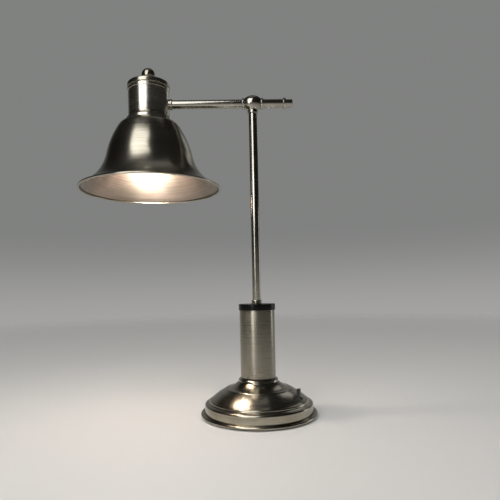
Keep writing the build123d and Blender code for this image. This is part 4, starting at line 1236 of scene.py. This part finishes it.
class LampBuildStage(Operator):
    """Lay the floor, light the studio and set the camera."""

    bl_idname = "lamp.build_stage"
    bl_label = "Stage"

    def execute(self, context):
        self.lay_floor(context)
        self.light_world()
        self.set_lights()
        self.set_camera(context)
        context.scene.view_settings.view_transform = "Standard"
        return {"FINISHED"}

    def lay_floor(self, context):
        """A round pale floor that fades into the background."""
        view = context.scene.lamp_stage
        s = Finish("stage_floor")
        x, y, z = s.parts(s.place())
        back = y - view.floor_back
        fade = s.span((x * x + back * back) ** 0.5, view.fade_start, view.fade_end)
        speck = s.noise(s.place(), scale=900, detail=2)
        s.done(
            Base_Color=(*context.scene.lamp_finishes.floor, 1),
            Roughness=0.55 + (speck - 0.5) * 0.1,
            Alpha=1 - fade,
        )
        mesh = bpy.data.meshes.new("studio_floor")
        work = bmesh.new()
        bmesh.ops.create_circle(work, cap_ends=True, segments=MEDIUM, radius=view.floor_radius)
        work.to_mesh(mesh)
        work.free()
        mesh.materials.append(s.material)
        floor = bpy.data.objects.new("studio_floor", mesh)
        context.scene.collection.objects.link(floor)

    def light_world(self):
        """A pale background, and a studio that is darker in front of the lamp, for the metal to reflect."""
        world = bpy.data.worlds.new("studio")
        bpy.context.scene.world = world
        world.use_nodes = True
        s = Nodes(world.node_tree)
        background = s.tree.nodes["Background"]
        x, y, z = s.parts(s.add("ShaderNodeTexCoord", output="Generated"))
        steepness = z.math("ABSOLUTE", z)
        path = s.add("ShaderNodeLightPath").socket.node
        camera = Value(s, path.outputs["Is Camera Ray"])
        through = Value(s, path.outputs["Is Transmission Ray"])
        glossy = Value(s, path.outputs["Is Glossy Ray"])
        wall_foot, wall_head = (0.38, 0.372, 0.365), (0.215, 0.22, 0.215)
        front_foot, front_head = (0.20, 0.195, 0.185), (0.010, 0.010, 0.009)
        plain_light = (0.53, 0.53, 0.525)
        wall = s.blend(s.span(z, -0.08, 0.14), wall_foot, wall_head)
        front = s.blend(s.span(z, -0.12, 0.1), front_foot, front_head)
        room = s.blend(s.span(y - steepness * 0.55, 0.25, 0.75), front, wall)
        seen = s.add("ShaderNodeMath", {"operation": "MAXIMUM"}, {0: camera, 1: through})
        lit = s.blend(glossy, plain_light, room)
        s.fill(background, {"Color": s.blend(seen, lit, wall), "Strength": 1.0})

    def set_lights(self):
        """A tall lamp in front on the left, a low one beside it, and weak ones above, right and behind."""
        base, stem, middle = (0, 0, 0.05), (0, 0, 0.2), (-0.1, 0, 0.33)
        column = (0, 0, 0.15)
        softbox("key", (-0.63, -1.13, 1.22), middle, width=1.0, height=1.7, power=14.5)
        softbox("top", (-0.05, 0.22, 1.7), stem, width=0.8, height=0.5, power=0.3)
        softbox("low", (-0.8, -1.25, 0.42), stem, width=0.35, height=0.75, power=0.32, spread=70)
        softbox("side", (1.25, 0.41, 0.27), column, width=0.4, height=0.5, power=0.12, spread=70)
        softbox("back", (0.66, 0.92, 1.0), base, width=0.35, height=0.5, power=0.075, spread=90)

    def set_camera(self, context):
        """The photograph's camera: level, leaning a little, with a small vertical shift."""
        view = context.scene.lamp_stage
        data = bpy.data.cameras.new("camera")
        data.lens = view.lens
        data.sensor_width = view.sensor
        data.shift_x = view.slide
        data.shift_y = view.rise
        camera = bpy.data.objects.new("camera", data)
        orbit = Matrix.Rotation(-view.turn, 3, "Z")
        level = Matrix.Rotation(radians(90), 3, "X")
        camera.location = orbit @ Vector((view.side, -view.distance, view.height))
        camera.rotation_euler = (orbit @ level @ Matrix.Rotation(-view.lean, 3, "Z")).to_euler()
        context.scene.collection.objects.link(camera)
        context.scene.camera = camera


STEPS = (
    LampBuildFinishes,
    LampFinishSolids,
    LampBuildBase,
    LampBuildColumn,
    LampBuildStem,
    LampBuildArm,
    LampBuildCup,
    LampBuildShade,
    LampBuildLight,
    LampBuildSwitch,
    LampBuildStage,
)
GROUPS = {
    "lamp_base": LampBaseSizes,
    "lamp_stem": LampStemSizes,
    "lamp_head": LampHeadSizes,
    "lamp_light": LampLightSizes,
    "lamp_switch": LampSwitchSizes,
    "lamp_finishes": LampFinishes,
    "lamp_stage": LampStageSettings,
}


class LampPanel(Panel):
    """The lamp's steps and sizes in the 3D view's sidebar."""

    bl_idname = "VIEW3D_PT_lamp"
    bl_label = "Lamp"
    bl_space_type = "VIEW_3D"
    bl_region_type = "UI"
    bl_category = "Lamp"

    def draw(self, context):
        for step in STEPS:
            self.layout.operator(step.bl_idname)
        for name, group in GROUPS.items():
            box = self.layout.box()
            box.label(text=group.__doc__)
            for key in group.__annotations__:
                box.prop(getattr(context.scene, name), key)


def register():
    for name, group in GROUPS.items():
        bpy.utils.register_class(group)
        setattr(bpy.types.Scene, name, PointerProperty(type=group))
    for step in STEPS:
        bpy.utils.register_class(step)
    bpy.utils.register_class(LampPanel)


def unregister():
    bpy.utils.unregister_class(LampPanel)
    for step in reversed(STEPS):
        bpy.utils.unregister_class(step)
    for name, group in GROUPS.items():
        delattr(bpy.types.Scene, name)
        bpy.utils.unregister_class(group)


def main():
    """Register the lamp's steps and sizes, and build the lamp."""
    register()
    for step in STEPS:
        group, name = step.bl_idname.split(".")
        getattr(getattr(bpy.ops, group), name)()


if __name__ == "__main__":
    main()
